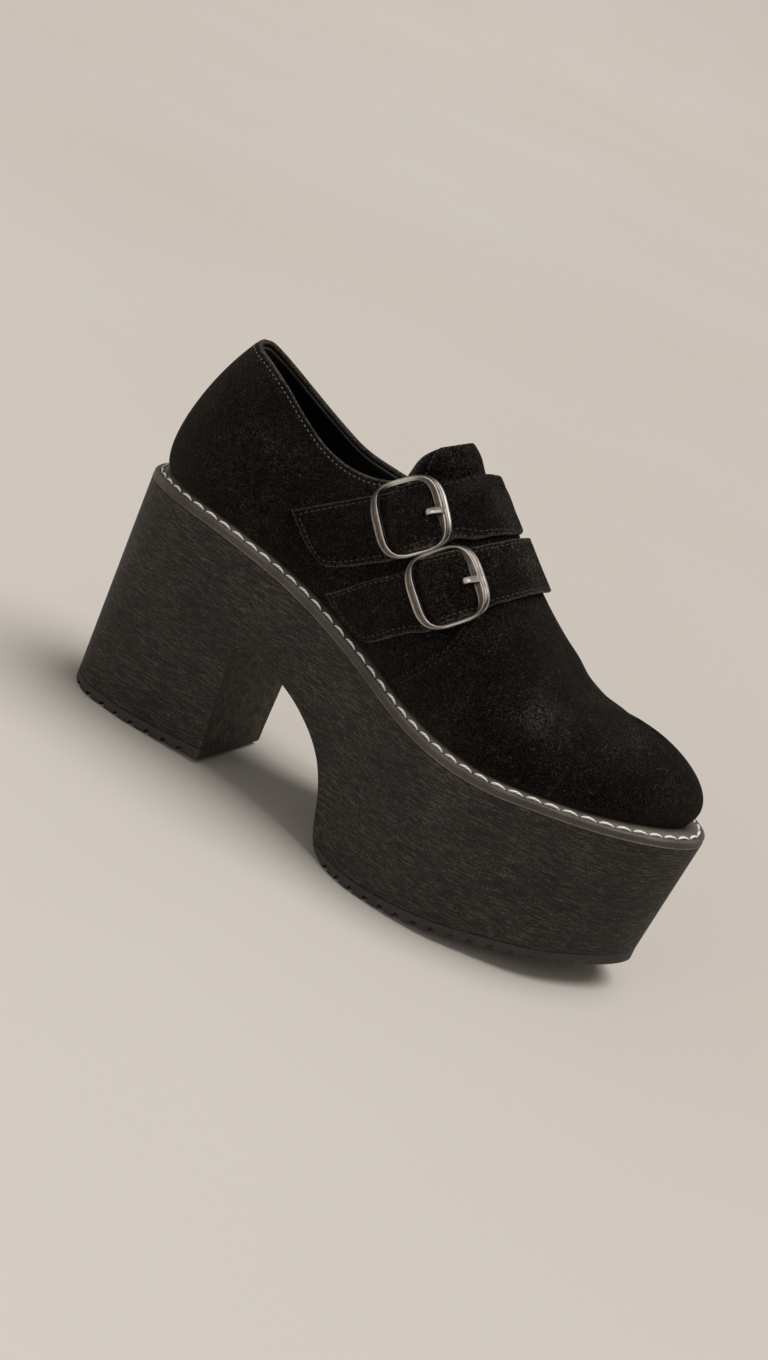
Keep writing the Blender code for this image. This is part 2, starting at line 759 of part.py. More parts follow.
def rod(name, path, radius, look=None, helper=False):
    """A round rod along a line, made as a curve with a bevel and turned into a mesh."""
    curve = bpy.data.curves.new(name, "CURVE")
    curve.dimensions = "3D"
    curve.bevel_depth = radius * MM
    curve.bevel_resolution = 3
    curve.use_fill_caps = True
    line = curve.splines.new("POLY")
    line.points.add(len(path) - 1)
    for point, place in zip(line.points, np.asarray(path)):
        point.co = (*((place - MIDDLE) * MM), 1)
    drawn = bpy.data.objects.new(name + "_line", curve)
    cutters.objects.link(drawn)
    bpy.context.view_layer.update()
    mesh = bpy.data.meshes.new_from_object(drawn)
    bpy.data.objects.remove(drawn)
    obj = bpy.data.objects.new(name, mesh)
    finish(obj, look, helper)
    weld(obj)
    return obj


for old in list(bpy.data.objects):
    bpy.data.objects.remove(old)

shoe = bpy.data.collections.new("platform_strap_shoe")
cutters = bpy.data.collections.new("cutters")
bpy.context.scene.collection.children.link(shoe)
bpy.context.scene.collection.children.link(cutters)
cutters.hide_render = True

SUEDE = material("suede", (0.012, 0.011, 0.010), 0.95)
WELT_RUBBER = material("welt_rubber", (0.075, 0.062, 0.050), 0.7)
SOLE_BODY = material("sole_body", (0.020, 0.018, 0.016), 0.6)
TREAD_RUBBER = material("tread_rubber", (0.028, 0.028, 0.027), 0.8)
LINING = material("lining_leather", (0.016, 0.015, 0.014), 0.45)
NICKEL = material("nickel", (0.45, 0.43, 0.40), 0.35, 1.0)

EDGE = side_lines(0)
MIDDLE = np.array([LENGTH / 2, (EDGE[0][:, 1].min() + EDGE[1][:, 1].max()) / 2, 0])
FEATHER = feather_line()
BODY_TOP = WELT_THICK + GAP  # under the welt's top face
BODY_FOOT = TREAD_THICK + GAP  # over the ground


def body_row(share):
    """A row of the sole unit's wall, share of the way from its foot to its top."""
    return (
        lambda x: 0.4 * share + foot_inset(x) * (1 - share),
        lambda x: (ground(x) + BODY_FOOT) * (1 - share) + (welt_top(x) - BODY_TOP) * share,
    )


def above(surface, height):
    """A function for the heights that lie so far above those of another."""
    return lambda x: surface(x) + height


TREAD_ROWS = [(foot_inset, ground), (foot_inset, above(ground, TREAD_THICK))]

hollow = arch_cutter()
platform = slab("platform", [body_row(share) for share in (0, 0.3, 0.6, 0.85, 1)], SOLE_BODY)
cut(platform, hollow)

outsole_heel = slab("outsole_heel", TREAD_ROWS, TREAD_RUBBER)
split_low, split_high = -5.0, 20.0  # past both faces of the tread
ahead_of_heel = box_helper(
    "ahead_of_heel", (HEEL_BREAST, -CUT_REACH, split_low), (LENGTH + 8, CUT_REACH, split_high)
)
cut(outsole_heel, ahead_of_heel)
cut(outsole_heel, grooves("heel"))

outsole_forefoot = slab("outsole_forefoot", TREAD_ROWS, TREAD_RUBBER)
behind_forefoot = box_helper(
    "behind_forefoot", (-8, -CUT_REACH, split_low), (HEEL_BREAST + 40, CUT_REACH, split_high)
)
cut(outsole_forefoot, behind_forefoot)
cut(outsole_forefoot, hollow)
cut(outsole_forefoot, grooves("forefoot"))

welt_rows = zip(WELT_SECTION["inset"], WELT_SECTION["height"])
welt_loops = loops_at([(inset, above(welt_top, height - WELT_THICK)) for inset, height in welt_rows])
welt_faces = band_faces(len(welt_loops), 2 * RIM_POINTS, closed_rows=True)
welt = mesh_object("welt", np.concatenate(welt_loops), welt_faces, WELT_RUBBER)
face_outwards(welt)

insole = slab(
    "insole",
    [
        (WELT_WIDE + GAP, above(welt_top, -WELT_THICK)),
        (WELT_WIDE + GAP, above(welt_top, GAP)),
        (INSOLE_INSET, above(welt_top, GAP)),
        (INSOLE_INSET, above(welt_top, GAP + INSOLE_THICK)),
    ],
    LINING,
)

upper = make_upper()
face_outwards(upper)
make_tongue()
for which in STRAPS:
    make_strap(which)
    make_frame(which)
    make_prong(which)
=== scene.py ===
# %% [markdown]
# # A platform shoe with two buckled straps
#
# This shoe is made of leather goods, rubber and metal: a suede upper pulled over a last, a
# stitched welt, a moulded platform with a block heel, and two straps with buckles.  The
# solid model of it is loaded first and never moved.  Each visible piece is then worked out
# as a surface with numpy, in millimetres, and put in the same place as the solid that it
# stands for.

import math

import bmesh
import bpy
import numpy as np
from mathutils import Matrix, Vector


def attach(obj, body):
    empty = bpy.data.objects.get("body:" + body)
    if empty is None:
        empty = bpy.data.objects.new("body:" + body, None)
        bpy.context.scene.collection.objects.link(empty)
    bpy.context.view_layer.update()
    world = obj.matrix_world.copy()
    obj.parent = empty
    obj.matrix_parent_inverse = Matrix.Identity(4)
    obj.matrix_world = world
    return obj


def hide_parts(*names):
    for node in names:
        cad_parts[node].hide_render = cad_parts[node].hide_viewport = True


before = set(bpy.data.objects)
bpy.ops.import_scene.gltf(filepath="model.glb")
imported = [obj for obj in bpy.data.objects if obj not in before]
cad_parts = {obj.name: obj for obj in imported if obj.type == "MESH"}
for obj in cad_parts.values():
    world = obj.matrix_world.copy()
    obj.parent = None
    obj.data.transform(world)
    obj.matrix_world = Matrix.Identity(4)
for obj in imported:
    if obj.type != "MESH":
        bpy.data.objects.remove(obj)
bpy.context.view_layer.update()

# %% [markdown]
# ## From the maker's measures to the scene
#
# The tables below are measured in millimetres from the back of the welt, with x to the toe,
# y to the inner side of the foot and z up from the floor.  A smooth cubic through the rows
# of a table works like a maker's flexible ruler held at a few pins, so a handful of
# measurements gives a fair curve.

# %% Smooth curves through a few measurements
MM = 0.001
MIDDLE = np.array([131.0, -2.6492, 0.0])  # the scene's origin, under the middle of the shoe


def named(columns, rows):
    """A table as a dictionary, with one array for each named column."""
    return dict(zip(columns.split(), np.array(rows, float).T))


def smooth(at, along, values):
    """A cubic through every row, whose slope at a row comes from the rows beside it."""
    slope = np.gradient(values, along)
    at = np.clip(at, along[0], along[-1])
    i = np.clip(np.searchsorted(along, at) - 1, 0, len(along) - 2)
    step = along[i + 1] - along[i]
    t = (at - along[i]) / step
    left = values[i] * (1 + 2 * t) * (1 - t) ** 2 + slope[i] * step * t * (1 - t) ** 2
    right = values[i + 1] * t**2 * (3 - 2 * t) - slope[i + 1] * step * t**2 * (1 - t)
    return left + right


def ease(start, end, at):
    """0 up to start, 1 from end on, and an even S between them."""
    t = np.clip((at - start) / (end - start), 0, 1)
    return t * t * (3 - 2 * t)


print("an even S passes", ease(0.0, 1.0, 0.25).round(3), "a quarter of the way along")

# %% [markdown]
# ### The plan line
#
# Welt, platform, treads, insole and upper all follow the same plan, each further in.  It is
# drawn as a centre line and a half width, because that is how a last is measured, and the
# two ends are closed by quarter ellipses.

# %% The plan line
LENGTH = 262.0  # back of the welt to the tip of the toe
HEEL_ROUND = 42.0  # length over which the plan of the heel closes
TOE_ROUND = 78.0  # length over which the plan of the toe closes
HEEL_OUT, TOE_OUT = 1.3, 0.8  # how far rubber and suede swell past the flat pattern at the ends
HEEL_SWELL, TOE_SWELL = 60.0, 40.0  # length over which they do so
PLAN_STEPS = 2880  # points of the whole plan line
SOLE = named("along centre half top", (
    (0, 0.0, 35.3, 95.2), (14, -0.2, 35.3, 96.8), (30, -0.6, 35.3, 96.8),
    (60, -1.8, 34.6, 93.7), (90, -3.3, 32.2, 87.7), (120, -5.0, 32.8, 78.5),
    (135, -5.3, 35.8, 73.6), (150, -5.4, 39.4, 69.0), (175, -4.3, 46.2, 65.6),
    (195, -2.5, 49.2, 65.6), (215, -1.0, 48.6, 67.0), (240, -2.2, 46.0, 69.1),
    (262, 1.8, 41.2, 69.7),
))  # plan and height of the welt's top face


def welt_top(x):
    """Height of the welt's top face above the floor."""
    return smooth(x, SOLE["along"], SOLE["top"])


def unit(vectors):
    """The same directions with length 1."""
    return vectors / np.linalg.norm(vectors, axis=-1, keepdims=True)


def length_along(points, axis):
    """Distance travelled along one axis of a grid, in millimetres, from 0 at its start."""
    steps = np.linalg.norm(np.diff(points, axis=axis), axis=-1)
    travelled = np.cumsum(steps, axis=axis)
    first = np.zeros_like(np.take(travelled, [0], axis=axis))
    return np.concatenate([first, travelled], axis=axis)


def at_lengths(wanted, travelled, line):
    """Every column of a line of points, read off where a wanted length has been travelled."""
    return np.stack([np.interp(wanted, travelled, column) for column in line.T], 1)


def spaced(rows, count):
    """The same line with count + 1 points at even steps of length."""
    travelled = length_along(rows[:, :2], 0)
    return at_lengths(np.linspace(0, travelled[-1], count + 1), travelled, rows)


def side_lines(inset, count):
    """The plan line `inset` inside the welt's edge, as its outer and its inner side.

    x runs as 1 - cos(turn), y is the centre line plus or minus the half width, and the half
    width is rounded off by a quarter ellipse at each end.  Rows are x, y and the outward
    normal, from heel to toe.
    """
    turn = np.linspace(0, 2 * math.pi, PLAN_STEPS, endpoint=False)
    x = LENGTH / 2 * (1 - np.cos(turn))
    heel = np.sqrt(1 - (1 - np.clip(x / HEEL_ROUND, 0, 1)) ** 2)
    toe = np.sqrt(1 - np.clip((x - LENGTH + TOE_ROUND) / TOE_ROUND, 0, 1) ** 2)
    half = smooth(x, SOLE["along"], SOLE["half"]) * heel * toe
    y = smooth(x, SOLE["along"], SOLE["centre"]) - np.where(turn < math.pi, half, -half)
    x = x - HEEL_OUT * (1 - ease(0, HEEL_SWELL, x)) + TOE_OUT * ease(LENGTH - TOE_SWELL, LENGTH, x)
    line = np.stack([x, y], 1)
    ahead = np.roll(line, -1, 0) - np.roll(line, 1, 0)
    normal = unit(np.stack([ahead[:, 1], -ahead[:, 0]], 1))
    depth = inset(x) if callable(inset) else np.full(len(x), float(inset))
    rows = np.concatenate([line - normal * depth[:, None], normal], 1)
    middle = len(rows) // 2
    outer = rows[: middle + 1]
    inner = np.concatenate([rows[middle:], rows[:1]])[::-1]
    return spaced(outer, count), spaced(inner, count)


print("one side of the welt's edge:", len(side_lines(0, 200)[0]), "points")

# %% [markdown]
# ## The camera
#
# The camera stands a little above the outer side of the shoe, near the toe, and is rolled
# so that the shoe looks tipped up on its toe.  Its place and its three directions are given
# outright, because a rolled camera can't be aimed with a track constraint alone.

# %% Camera
AZIMUTH, ELEVATION, ROLL = (math.radians(a) for a in (20.66, 18.74, 23.49))
AIM = np.array([130.0, 0.0, 61.5])  # the point that it circles
DISTANCE = 900.0
SLIDE = np.array([6.352, -3.371])  # how far the aim lies off the middle of the picture
LENS, SENSOR = 60.99, 36.0

back = np.array([
    math.sin(AZIMUTH) * math.cos(ELEVATION), -math.cos(AZIMUTH) * math.cos(ELEVATION),
    math.sin(ELEVATION),
])
level = np.array([math.cos(AZIMUTH), math.sin(AZIMUTH), 0.0])
upright = np.cross(back, level)
right = level * math.cos(ROLL) + upright * math.sin(ROLL)
up = upright * math.cos(ROLL) - level * math.sin(ROLL)
eye = AIM - MIDDLE + back * DISTANCE - right * SLIDE[0] - up * SLIDE[1]

camera = bpy.data.objects.new("camera", bpy.data.cameras.new("camera"))
camera.data.lens = LENS
camera.data.sensor_width = SENSOR
camera.data.clip_end = 200
turn = Matrix((right, up, back)).transposed().to_4x4()
camera.matrix_world = Matrix.Translation(Vector(eye * MM)) @ turn
bpy.context.scene.collection.objects.link(camera)
bpy.context.scene.camera = camera
print("camera at", (eye * MM).round(4))

# %% [markdown]
# ## Colours and nodes
#
# A colour is read off as a web colour, which is stored bent so that dark tones get more
# steps.  The shader wants light itself, so one function straightens it.  One more function
# adds a node with its settings and its links, so that a material reads as a short recipe.


# %% Colour and node helpers
def linear(code):
    """sRGB hex to linear light: the dark end is a straight line, and the rest a power."""
    parts = [int(code[i : i + 2], 16) / 255 for i in (1, 3, 5)]
    return (*(v / 12.92 if v <= 0.04045 else ((v + 0.055) / 1.055) ** 2.4 for v in parts), 1)


def add(tree, kind, links=None, stops=(), **settings):
    """A node of a kind: settings are its properties, and links gives values or sockets.

    stops are the places and hex colours of a colour ramp.
    """
    node = tree.nodes.new("ShaderNode" + kind)
    for name, value in settings.items():
        setattr(node, name, value)
    for key, value in (links or {}).items():
        if isinstance(value, bpy.types.NodeSocket):
            tree.links.new(value, node.inputs[key])
        else:
            node.inputs[key].default_value = value
    if stops:
        elements = node.color_ramp.elements
        while len(elements) < len(stops):
            elements.new(0.5)
        for element, (place, colour) in zip(elements, stops):
            element.position, element.color = place, linear(colour)
    return node


def weighted(tree, *parts):
    """A sum of sockets, each times its weight, as a chain of multiply-and-add nodes."""
    total = 0.0
    for socket, weight in parts:
        link = {0: socket, 1: weight, 2: total}
        total = add(tree, "Math", link, operation="MULTIPLY_ADD").outputs[0]
    return total


def start_material(name, **shader_values):
    """A new material, its tree and its shader, with the shader's own sockets set."""
    made = bpy.data.materials.new(name)
    made.use_nodes = True
    tree = made.node_tree
    shader = tree.nodes["Principled BSDF"]
    for key, value in shader_values.items():
        shader.inputs[key.replace("_", " ")].default_value = value
    return made, tree, shader


def dress(tree, shader, colour, relief):
    """Links the colour and the last bump of a chain to the shader."""
    tree.links.new(colour.outputs["Color"], shader.inputs["Base Color"])
    tree.links.new(relief.outputs["Normal"], shader.inputs["Normal"])


PER_MM = 1000.0  # a scale of 1000 repeats a pattern every millimetre on Object coordinates
BANDS = 0.314  # a wave texture at scale 0.314 repeats once in a unit, which is a millimetre in UV
print("white is", [round(v, 3) for v in linear("#ffffff")])


# %% [markdown]
# ## Suede
#
# Suede is the inner side of a hide, sanded until short fibres stand up.  The fibres trap
# light, so it is almost black face on and has a soft grey bloom where they lie over.  The
# bloom is sheen on the shader; the nap is a bump of small curled clumps over fibres.  Real
# fibres are a tenth of a millimetre apart, which is too fine to show, so they are drawn a
# few times as coarse.


# %% Suede
CLUMP, FIBRE, BRUSH_MARK = 1.3, 0.6, 17.0  # millimetres


def make_suede(name, dark, middle, light, rubbed_and_lit_tone, sheen):
    """Base colour from nap and brush marks; an attribute lightens rubbed edges and paints
    highlights and sheen patches.
    """
    made, tree, shader = start_material(
        name, Roughness=0.95, Sheen_Weight=sheen, Sheen_Roughness=0.35,
        Sheen_Tint=linear("#b8aa9c"), Specular_IOR_Level=0.06,
    )
    place = add(tree, "TexCoord").outputs["Object"]
    clumps = add(tree, "TexNoise", {
        "Vector": place, "Scale": PER_MM / CLUMP, "Detail": 1.0, "Roughness": 0.5,
        "Distortion": 2.0,
    }).outputs["Fac"]
    fibres = add(tree, "TexNoise", {
        "Vector": place, "Scale": PER_MM / FIBRE, "Detail": 1.0, "Roughness": 0.7,
        "Distortion": 1.5,
    }).outputs["Fac"]
    brushed = add(tree, "TexNoise", {
        "Vector": place, "Scale": PER_MM / BRUSH_MARK, "Detail": 3.0,
    }).outputs["Fac"]
    # the attribute lightens rubbed edges and paints highlights on edges and sheen patches
    rubbed_and_lit = add(tree, "Attribute", attribute_name="wear").outputs["Fac"]
    tone = weighted(tree, (brushed, 0.20), (fibres, 0.36), (clumps, 0.60), (rubbed_and_lit, 0.22))
    colour = add(tree, "ValToRGB", {"Fac": tone}, stops=[
        (0.54, dark), (0.62, middle), (0.71, light), (0.86, rubbed_and_lit_tone),
    ])
    coarse = add(tree, "Bump", {"Height": clumps, "Distance": 0.0012, "Strength": 1.0})
    fine = add(tree, "Bump", {
        "Height": fibres, "Distance": 0.0006, "Strength": 1.0, "Normal": coarse.outputs["Normal"],
    })
    dress(tree, shader, colour, fine)
    return made


suede = make_suede("black_suede_napped", "#020202", "#0a0907", "#302b27", "#5e574f", 0.2)
print("suede:", suede.name)

# %% [markdown]
# ## Lining leather, thread and metal
#
# The lining is a smooth calf leather, drum dyed and glazed, so it has small pores and a
# mild gloss.  The welt is sewn with a waxed linen cord of several plies, and the suede with
# fine polyester, whose plies are drawn twice as wide as real ones, to show.  The buckles
# are cast zinc, nickel plated and then rubbed with a dark wash: it stays in the hollows and
# is brushed off where a hand would touch.  Rims and crests are also painted lighter, as
# highlights, and the inner facets a little darker, as shade.


# %% Leather, thread and nickel
PORE, DYE_CLOUD, WASH = 0.9, 12.0, 4.0  # millimetres
BRUSH_LONG, BRUSH_WIDE = 10.0, 0.25  # a brush line of the nickel, in millimetres


def make_leather(name, dark, light, raw_edge_and_highlight):
    """Pores and a cloudy dye.  Where an attribute is 1, at a cut edge, it shows the undyed middle
    and a painted highlight.
    """
    made, tree, shader = start_material(name, Roughness=0.38, Specular_IOR_Level=0.45)
    place = add(tree, "TexCoord").outputs["Object"]
    pores = add(tree, "TexVoronoi", {"Vector": place, "Scale": PER_MM / PORE, "Randomness": 1.0})
    cloud = add(tree, "TexNoise", {"Vector": place, "Scale": PER_MM / DYE_CLOUD, "Detail": 3.0})
    cut_edge_and_highlight = add(tree, "Attribute", attribute_name="wear").outputs["Fac"]
    tone = weighted(tree, (cloud.outputs["Fac"], 0.5), (cut_edge_and_highlight, 0.6))
    colour = add(tree, "ValToRGB", {"Fac": tone}, stops=[(0.15, dark), (0.38, light), (0.75, raw_edge_and_highlight)])
    relief = add(tree, "Bump", {
        "Height": pores.outputs["Distance"], "Distance": 0.0001, "Strength": 0.35,
    })
    dress(tree, shader, colour, relief)
    return made


def make_thread(name, dark, light, twist_mm, roughness):
    """Plies wind round the thread: a wave across its own length and girth, in UV millimetres."""
    made, tree, shader = start_material(name, Roughness=roughness, Specular_IOR_Level=0.3)
    along = add(tree, "UVMap").outputs["UV"]
    plies = add(tree, "TexWave", {
        "Vector": along, "Scale": BANDS / twist_mm, "Distortion": 0.4, "Detail": 1.0,
    }, wave_type="BANDS", bands_direction="DIAGONAL").outputs["Fac"]
    colour = add(tree, "ValToRGB", {"Fac": plies}, stops=[(0.1, dark), (0.6, light)])
    relief = add(tree, "Bump", {"Height": plies, "Distance": 0.00012, "Strength": 0.5})
    dress(tree, shader, colour, relief)
    return made


def make_nickel():
    """Brush lines run round the frame, so the noise is stretched along u of the UV map."""
    made, tree, shader = start_material("nickel_antiqued_brushed", Metallic=1.0, Roughness=0.3)
    uv = add(tree, "UVMap").outputs["UV"]
    stretched = add(tree, "Mapping", {
        "Vector": uv, "Scale": (1 / BRUSH_LONG, 1 / BRUSH_WIDE, 1.0),
    })
    lines = add(tree, "TexNoise", {
        "Vector": stretched.outputs["Vector"], "Scale": 1.0, "Detail": 4.0, "Roughness": 0.65,
    }).outputs["Fac"]
    place = add(tree, "TexCoord").outputs["Object"]
    wash = add(tree, "TexNoise", {"Vector": place, "Scale": PER_MM / WASH, "Detail": 3.0})
    # lightens rubbed high points and paints rim and crest highlights; below 0 it darkens the
    # groove's wash and paints facet shade
    rubbed_and_lit = add(tree, "Attribute", attribute_name="wear").outputs["Fac"]
    tone = weighted(tree, (lines, 0.62), (wash.outputs["Fac"], 0.18), (rubbed_and_lit, 0.42))
    colour = add(tree, "ValToRGB", {"Fac": tone}, stops=[
        (0.26, "#25211d"), (0.43, "#5c554e"), (0.60, "#9a938a"), (0.85, "#f6f3ee"),
    ])
    rough = add(tree, "MapRange", {
        "Value": lines, "From Min": 0.3, "From Max": 0.7, "To Min": 0.24, "To Max": 0.40,
    })
    tree.links.new(rough.outputs["Result"], shader.inputs["Roughness"])
    relief = add(tree, "Bump", {"Height": lines, "Distance": 0.00006, "Strength": 0.5})
    dress(tree, shader, colour, relief)
    return made


lining_leather = make_leather("black_calf_lining_glazed", "#0d0c0b", "#1d1b19", "#8a857e")
cord = make_thread("waxed_linen_cord", "#d5cfc3", "#fbf8f1", 0.9, 0.6)
dark_thread = make_thread("charcoal_polyester_thread", "#2e2a27", "#504b46", 0.5, 0.7)
black_thread = make_thread("black_polyester_thread", "#1c1917", "#35302c", 0.5, 0.7)
grey_thread = make_thread("grey_polyester_thread", "#4a4743", "#7d7872", 0.5, 0.6)
nickel = make_nickel()
finishes = (lining_leather, cord, black_thread, dark_thread, grey_thread, nickel)
print("finishes:", [finish.name for finish in finishes])

# %% [markdown]
# ## Rubber and foam of the sole
#
# The platform is moulded from a dark foam and then sanded lengthways, which leaves fine
# streaks like wood grain.  The welt is a taupe rubber strip with a satin skin, rolled so
# that fine ribs run round its edge.  The treads are a denser charcoal rubber, dull from the
# mould.


# %% Sole materials
STREAK_LONG, STREAK_HIGH, GRIT, STAIN, SAWN_GRAIN = 5.0, 0.5, 0.6, 30.0, 6.0  # millimetres
RUBBER_CLOUD = 14.0


def make_sanded(name, dark, middle, light, sawn_dark, sawn_light, roughness):
    """Streaks lie level: noise squeezed to half a millimetre in z and long in x and y.

    Where the attribute is 1 the foam is sawn, not sanded, and shows a browner, wavy grain.
    """
    made, tree, shader = start_material(name, Roughness=roughness, Specular_IOR_Level=0.3)
    place = add(tree, "TexCoord").outputs["Object"]
    lengthways = PER_MM / STREAK_LONG
    level = add(tree, "Mapping", {
        "Vector": place, "Scale": (lengthways, lengthways, PER_MM / STREAK_HIGH),
    }).outputs["Vector"]
    streaks = add(tree, "TexNoise", {
        "Vector": level, "Scale": 1.0, "Detail": 4.0, "Roughness": 0.7, "Distortion": 0.3,
    }).outputs["Fac"]
    grit = add(tree, "TexNoise", {
        "Vector": place, "Scale": PER_MM / GRIT, "Detail": 2.0, "Roughness": 0.7,
    }).outputs["Fac"]
    stain = add(tree, "TexNoise", {"Vector": place, "Scale": PER_MM / STAIN, "Detail": 4.0})
    tone = weighted(tree, (streaks, 0.55), (grit, 0.35), (stain.outputs["Fac"], 0.10))
    sanded = add(tree, "ValToRGB", {"Fac": tone}, stops=[
        (0.40, dark), (0.50, middle), (0.62, light),
    ])
    wavy = add(tree, "TexNoise", {
        "Vector": place, "Scale": PER_MM / SAWN_GRAIN, "Detail": 4.0, "Roughness": 0.6,
        "Distortion": 2.4,
    }).outputs["Fac"]
    grain = add(tree, "ValToRGB", {"Fac": wavy}, stops=[(0.42, sawn_dark), (0.59, sawn_light)])
    sawn = add(tree, "Attribute", attribute_name="wear").outputs["Fac"]
    colour = add(tree, "MixRGB", {
        "Fac": sawn, "Color1": sanded.outputs["Color"], "Color2": grain.outputs["Color"],
    })
    lines = add(tree, "Bump", {"Height": streaks, "Distance": 0.0004, "Strength": 0.7})
    grains = add(tree, "Bump", {
        "Height": grit, "Distance": 0.0002, "Strength": 0.5, "Normal": lines.outputs["Normal"],
    })
    dress(tree, shader, colour, grains)
    return made


def make_rubber(name, dark, light, rubbed_and_lit_tone, grain_mm, roughness, rib_mm=None):
    """A grained and clouded skin, with ribs across v of the UV map where they are asked for."""
    made, tree, shader = start_material(name, Roughness=roughness, Specular_IOR_Level=0.4)
    place = add(tree, "TexCoord").outputs["Object"]
    skin = add(tree, "TexNoise", {
        "Vector": place, "Scale": PER_MM / grain_mm, "Detail": 4.0, "Roughness": 0.6,
    }).outputs["Fac"]
    cloud = add(tree, "TexNoise", {"Vector": place, "Scale": PER_MM / RUBBER_CLOUD, "Detail": 3.0})
    # painted highlights: the attribute lightens the skin towards the last tone
    rubbed_and_lit = add(tree, "Attribute", attribute_name="wear").outputs["Fac"]
    tone = weighted(tree, (skin, 0.5), (cloud.outputs["Fac"], 0.5), (rubbed_and_lit, 0.35))
    colour = add(tree, "ValToRGB", {"Fac": tone}, stops=[
        (0.35, dark), (0.62, light), (0.95, rubbed_and_lit_tone),
    ])
    relief = add(tree, "Bump", {"Height": skin, "Distance": 0.00012, "Strength": 0.45})
    if rib_mm:
        around = add(tree, "UVMap").outputs["UV"]
        rolled = add(tree, "TexWave", {
            "Vector": around, "Scale": BANDS / rib_mm, "Distortion": 1.2, "Detail": 2.0,
            "Detail Scale": 0.3,
        }, wave_type="BANDS", bands_direction="Y").outputs["Fac"]
        relief = add(tree, "Bump", {
            "Height": rolled, "Distance": 0.0001, "Strength": 0.6,
            "Normal": relief.outputs["Normal"],
        })
    dress(tree, shader, colour, relief)
    return made


sole_foam = make_sanded(
    "platform_foam_sanded", "#0b0a08", "#1f1b17", "#504941", "#080705", "#51462f", 0.66,
)
welt_rubber = make_rubber(
    "taupe_rubber_satin", "#2f2924", "#49413a", "#786f65", 0.7, 0.5, rib_mm=0.75,
)
tread_rubber = make_rubber("charcoal_rubber_moulded", "#262422", "#383532", "#4a4642", 0.6, 0.72)
print("sole:", [finish.name for finish in (sole_foam, welt_rubber, tread_rubber)])

# %% [markdown]
# ## From a grid of points to a mesh
#
# Every piece here is a grid: one parameter runs along it and the other across or round it.
# The faces of a grid are the same whatever its shape, so one function makes them.  The
# points where a grid closes on itself are merged, and the faces are then turned outwards.


# %% Grids, meshes and pieces
def grid_faces(rows, columns, wrap_rows=False, wrap_columns=False):
    """Quads of a grid counted row by row, closed on itself in either direction."""
    r = np.arange(rows if wrap_rows else rows - 1)[:, None]
    c = np.arange(columns if wrap_columns else columns - 1)[None, :]
    after, beside = (r + 1) % rows, (c + 1) % columns
    quads = [r * columns + c, r * columns + beside, after * columns + beside, after * columns + c]
    return np.stack(np.broadcast_arrays(*quads), -1).reshape(-1, 4)


def edge_uses(mesh):
    """How many faces use each edge.  It is 2 all over on a closed surface."""
    index = np.empty(len(mesh.loops), np.int32)
    mesh.loops.foreach_get("edge_index", index)
    return np.bincount(index, minlength=len(mesh.edges))


def cleaned(mesh, merge, outwards=True):
    """Merges points closer than `merge` metres, drops loose ones and turns faces outwards."""
    shape = bmesh.new()
    shape.from_mesh(mesh)
    bmesh.ops.remove_doubles(shape, verts=shape.verts, dist=merge)
    if outwards:
        bmesh.ops.delete(shape, geom=[v for v in shape.verts if not v.link_faces], context="VERTS")
        bmesh.ops.recalc_face_normals(shape, faces=shape.faces)
    shape.to_mesh(mesh)
    shape.free()
    mesh.polygons.foreach_set("use_smooth", np.ones(len(mesh.polygons), bool))


def make_piece(name, points, faces, material, node, uv=None, sharp=35, merge=0.004, caps=(),
               wear=None):
    """A closed mesh from points in the maker's millimetres, standing for a solid.

    faces are quads, and caps are faces of any number of corners that close flat ends.
    sharp is the angle from which an edge is creased, merge how close points become one, and
    the last argument, one number a point, says how much a finish is rubbed or sawn there and
    how much painted light or shade it carries.
    """
    mesh = bpy.data.meshes.new(name)
    points = np.asarray(points, float).reshape(-1, 3)
    mesh.from_pydata((points - MIDDLE) * MM, [], np.asarray(faces).tolist() + list(caps))
    if uv is not None:
        layer = mesh.uv_layers.new(name="UVMap")
        index = np.empty(len(mesh.loops), np.int32)
        mesh.loops.foreach_get("vertex_index", index)
        layer.data.foreach_set("uv", np.asarray(uv, float).reshape(-1, 2)[index].ravel())
    if wear is not None:
        mesh.attributes.new("wear", "FLOAT", "POINT").data.foreach_set("value", wear)
    cleaned(mesh, merge * MM)
    mesh.set_sharp_from_angle(angle=math.radians(sharp))
    mesh.materials.append(material)
    piece = bpy.data.objects.new(name, mesh)
    bpy.context.scene.collection.objects.link(piece)
    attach(piece, "root")
    if node:
        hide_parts(node)
    open_edges = int((edge_uses(mesh) != 2).sum())
    print(f"{name}: {len(mesh.polygons)} faces, {open_edges} open edges")
    return piece


# %% [markdown]
# ## The stitched welt
#
# The welt is the rubber strip between upper and platform.  Its section is drawn once and
# carried round the plan line.  A groove is pressed in its top face, and the cord lies in
# the groove, so that the thread is kept from wear.  Inside the groove a ledge rises to meet
# the upper, and at its foot a thin bead covers the joint with the platform.

# %% Welt
WELT_THICK = 3.4
ROUND_STEPS = 460  # points along each side of a plan line
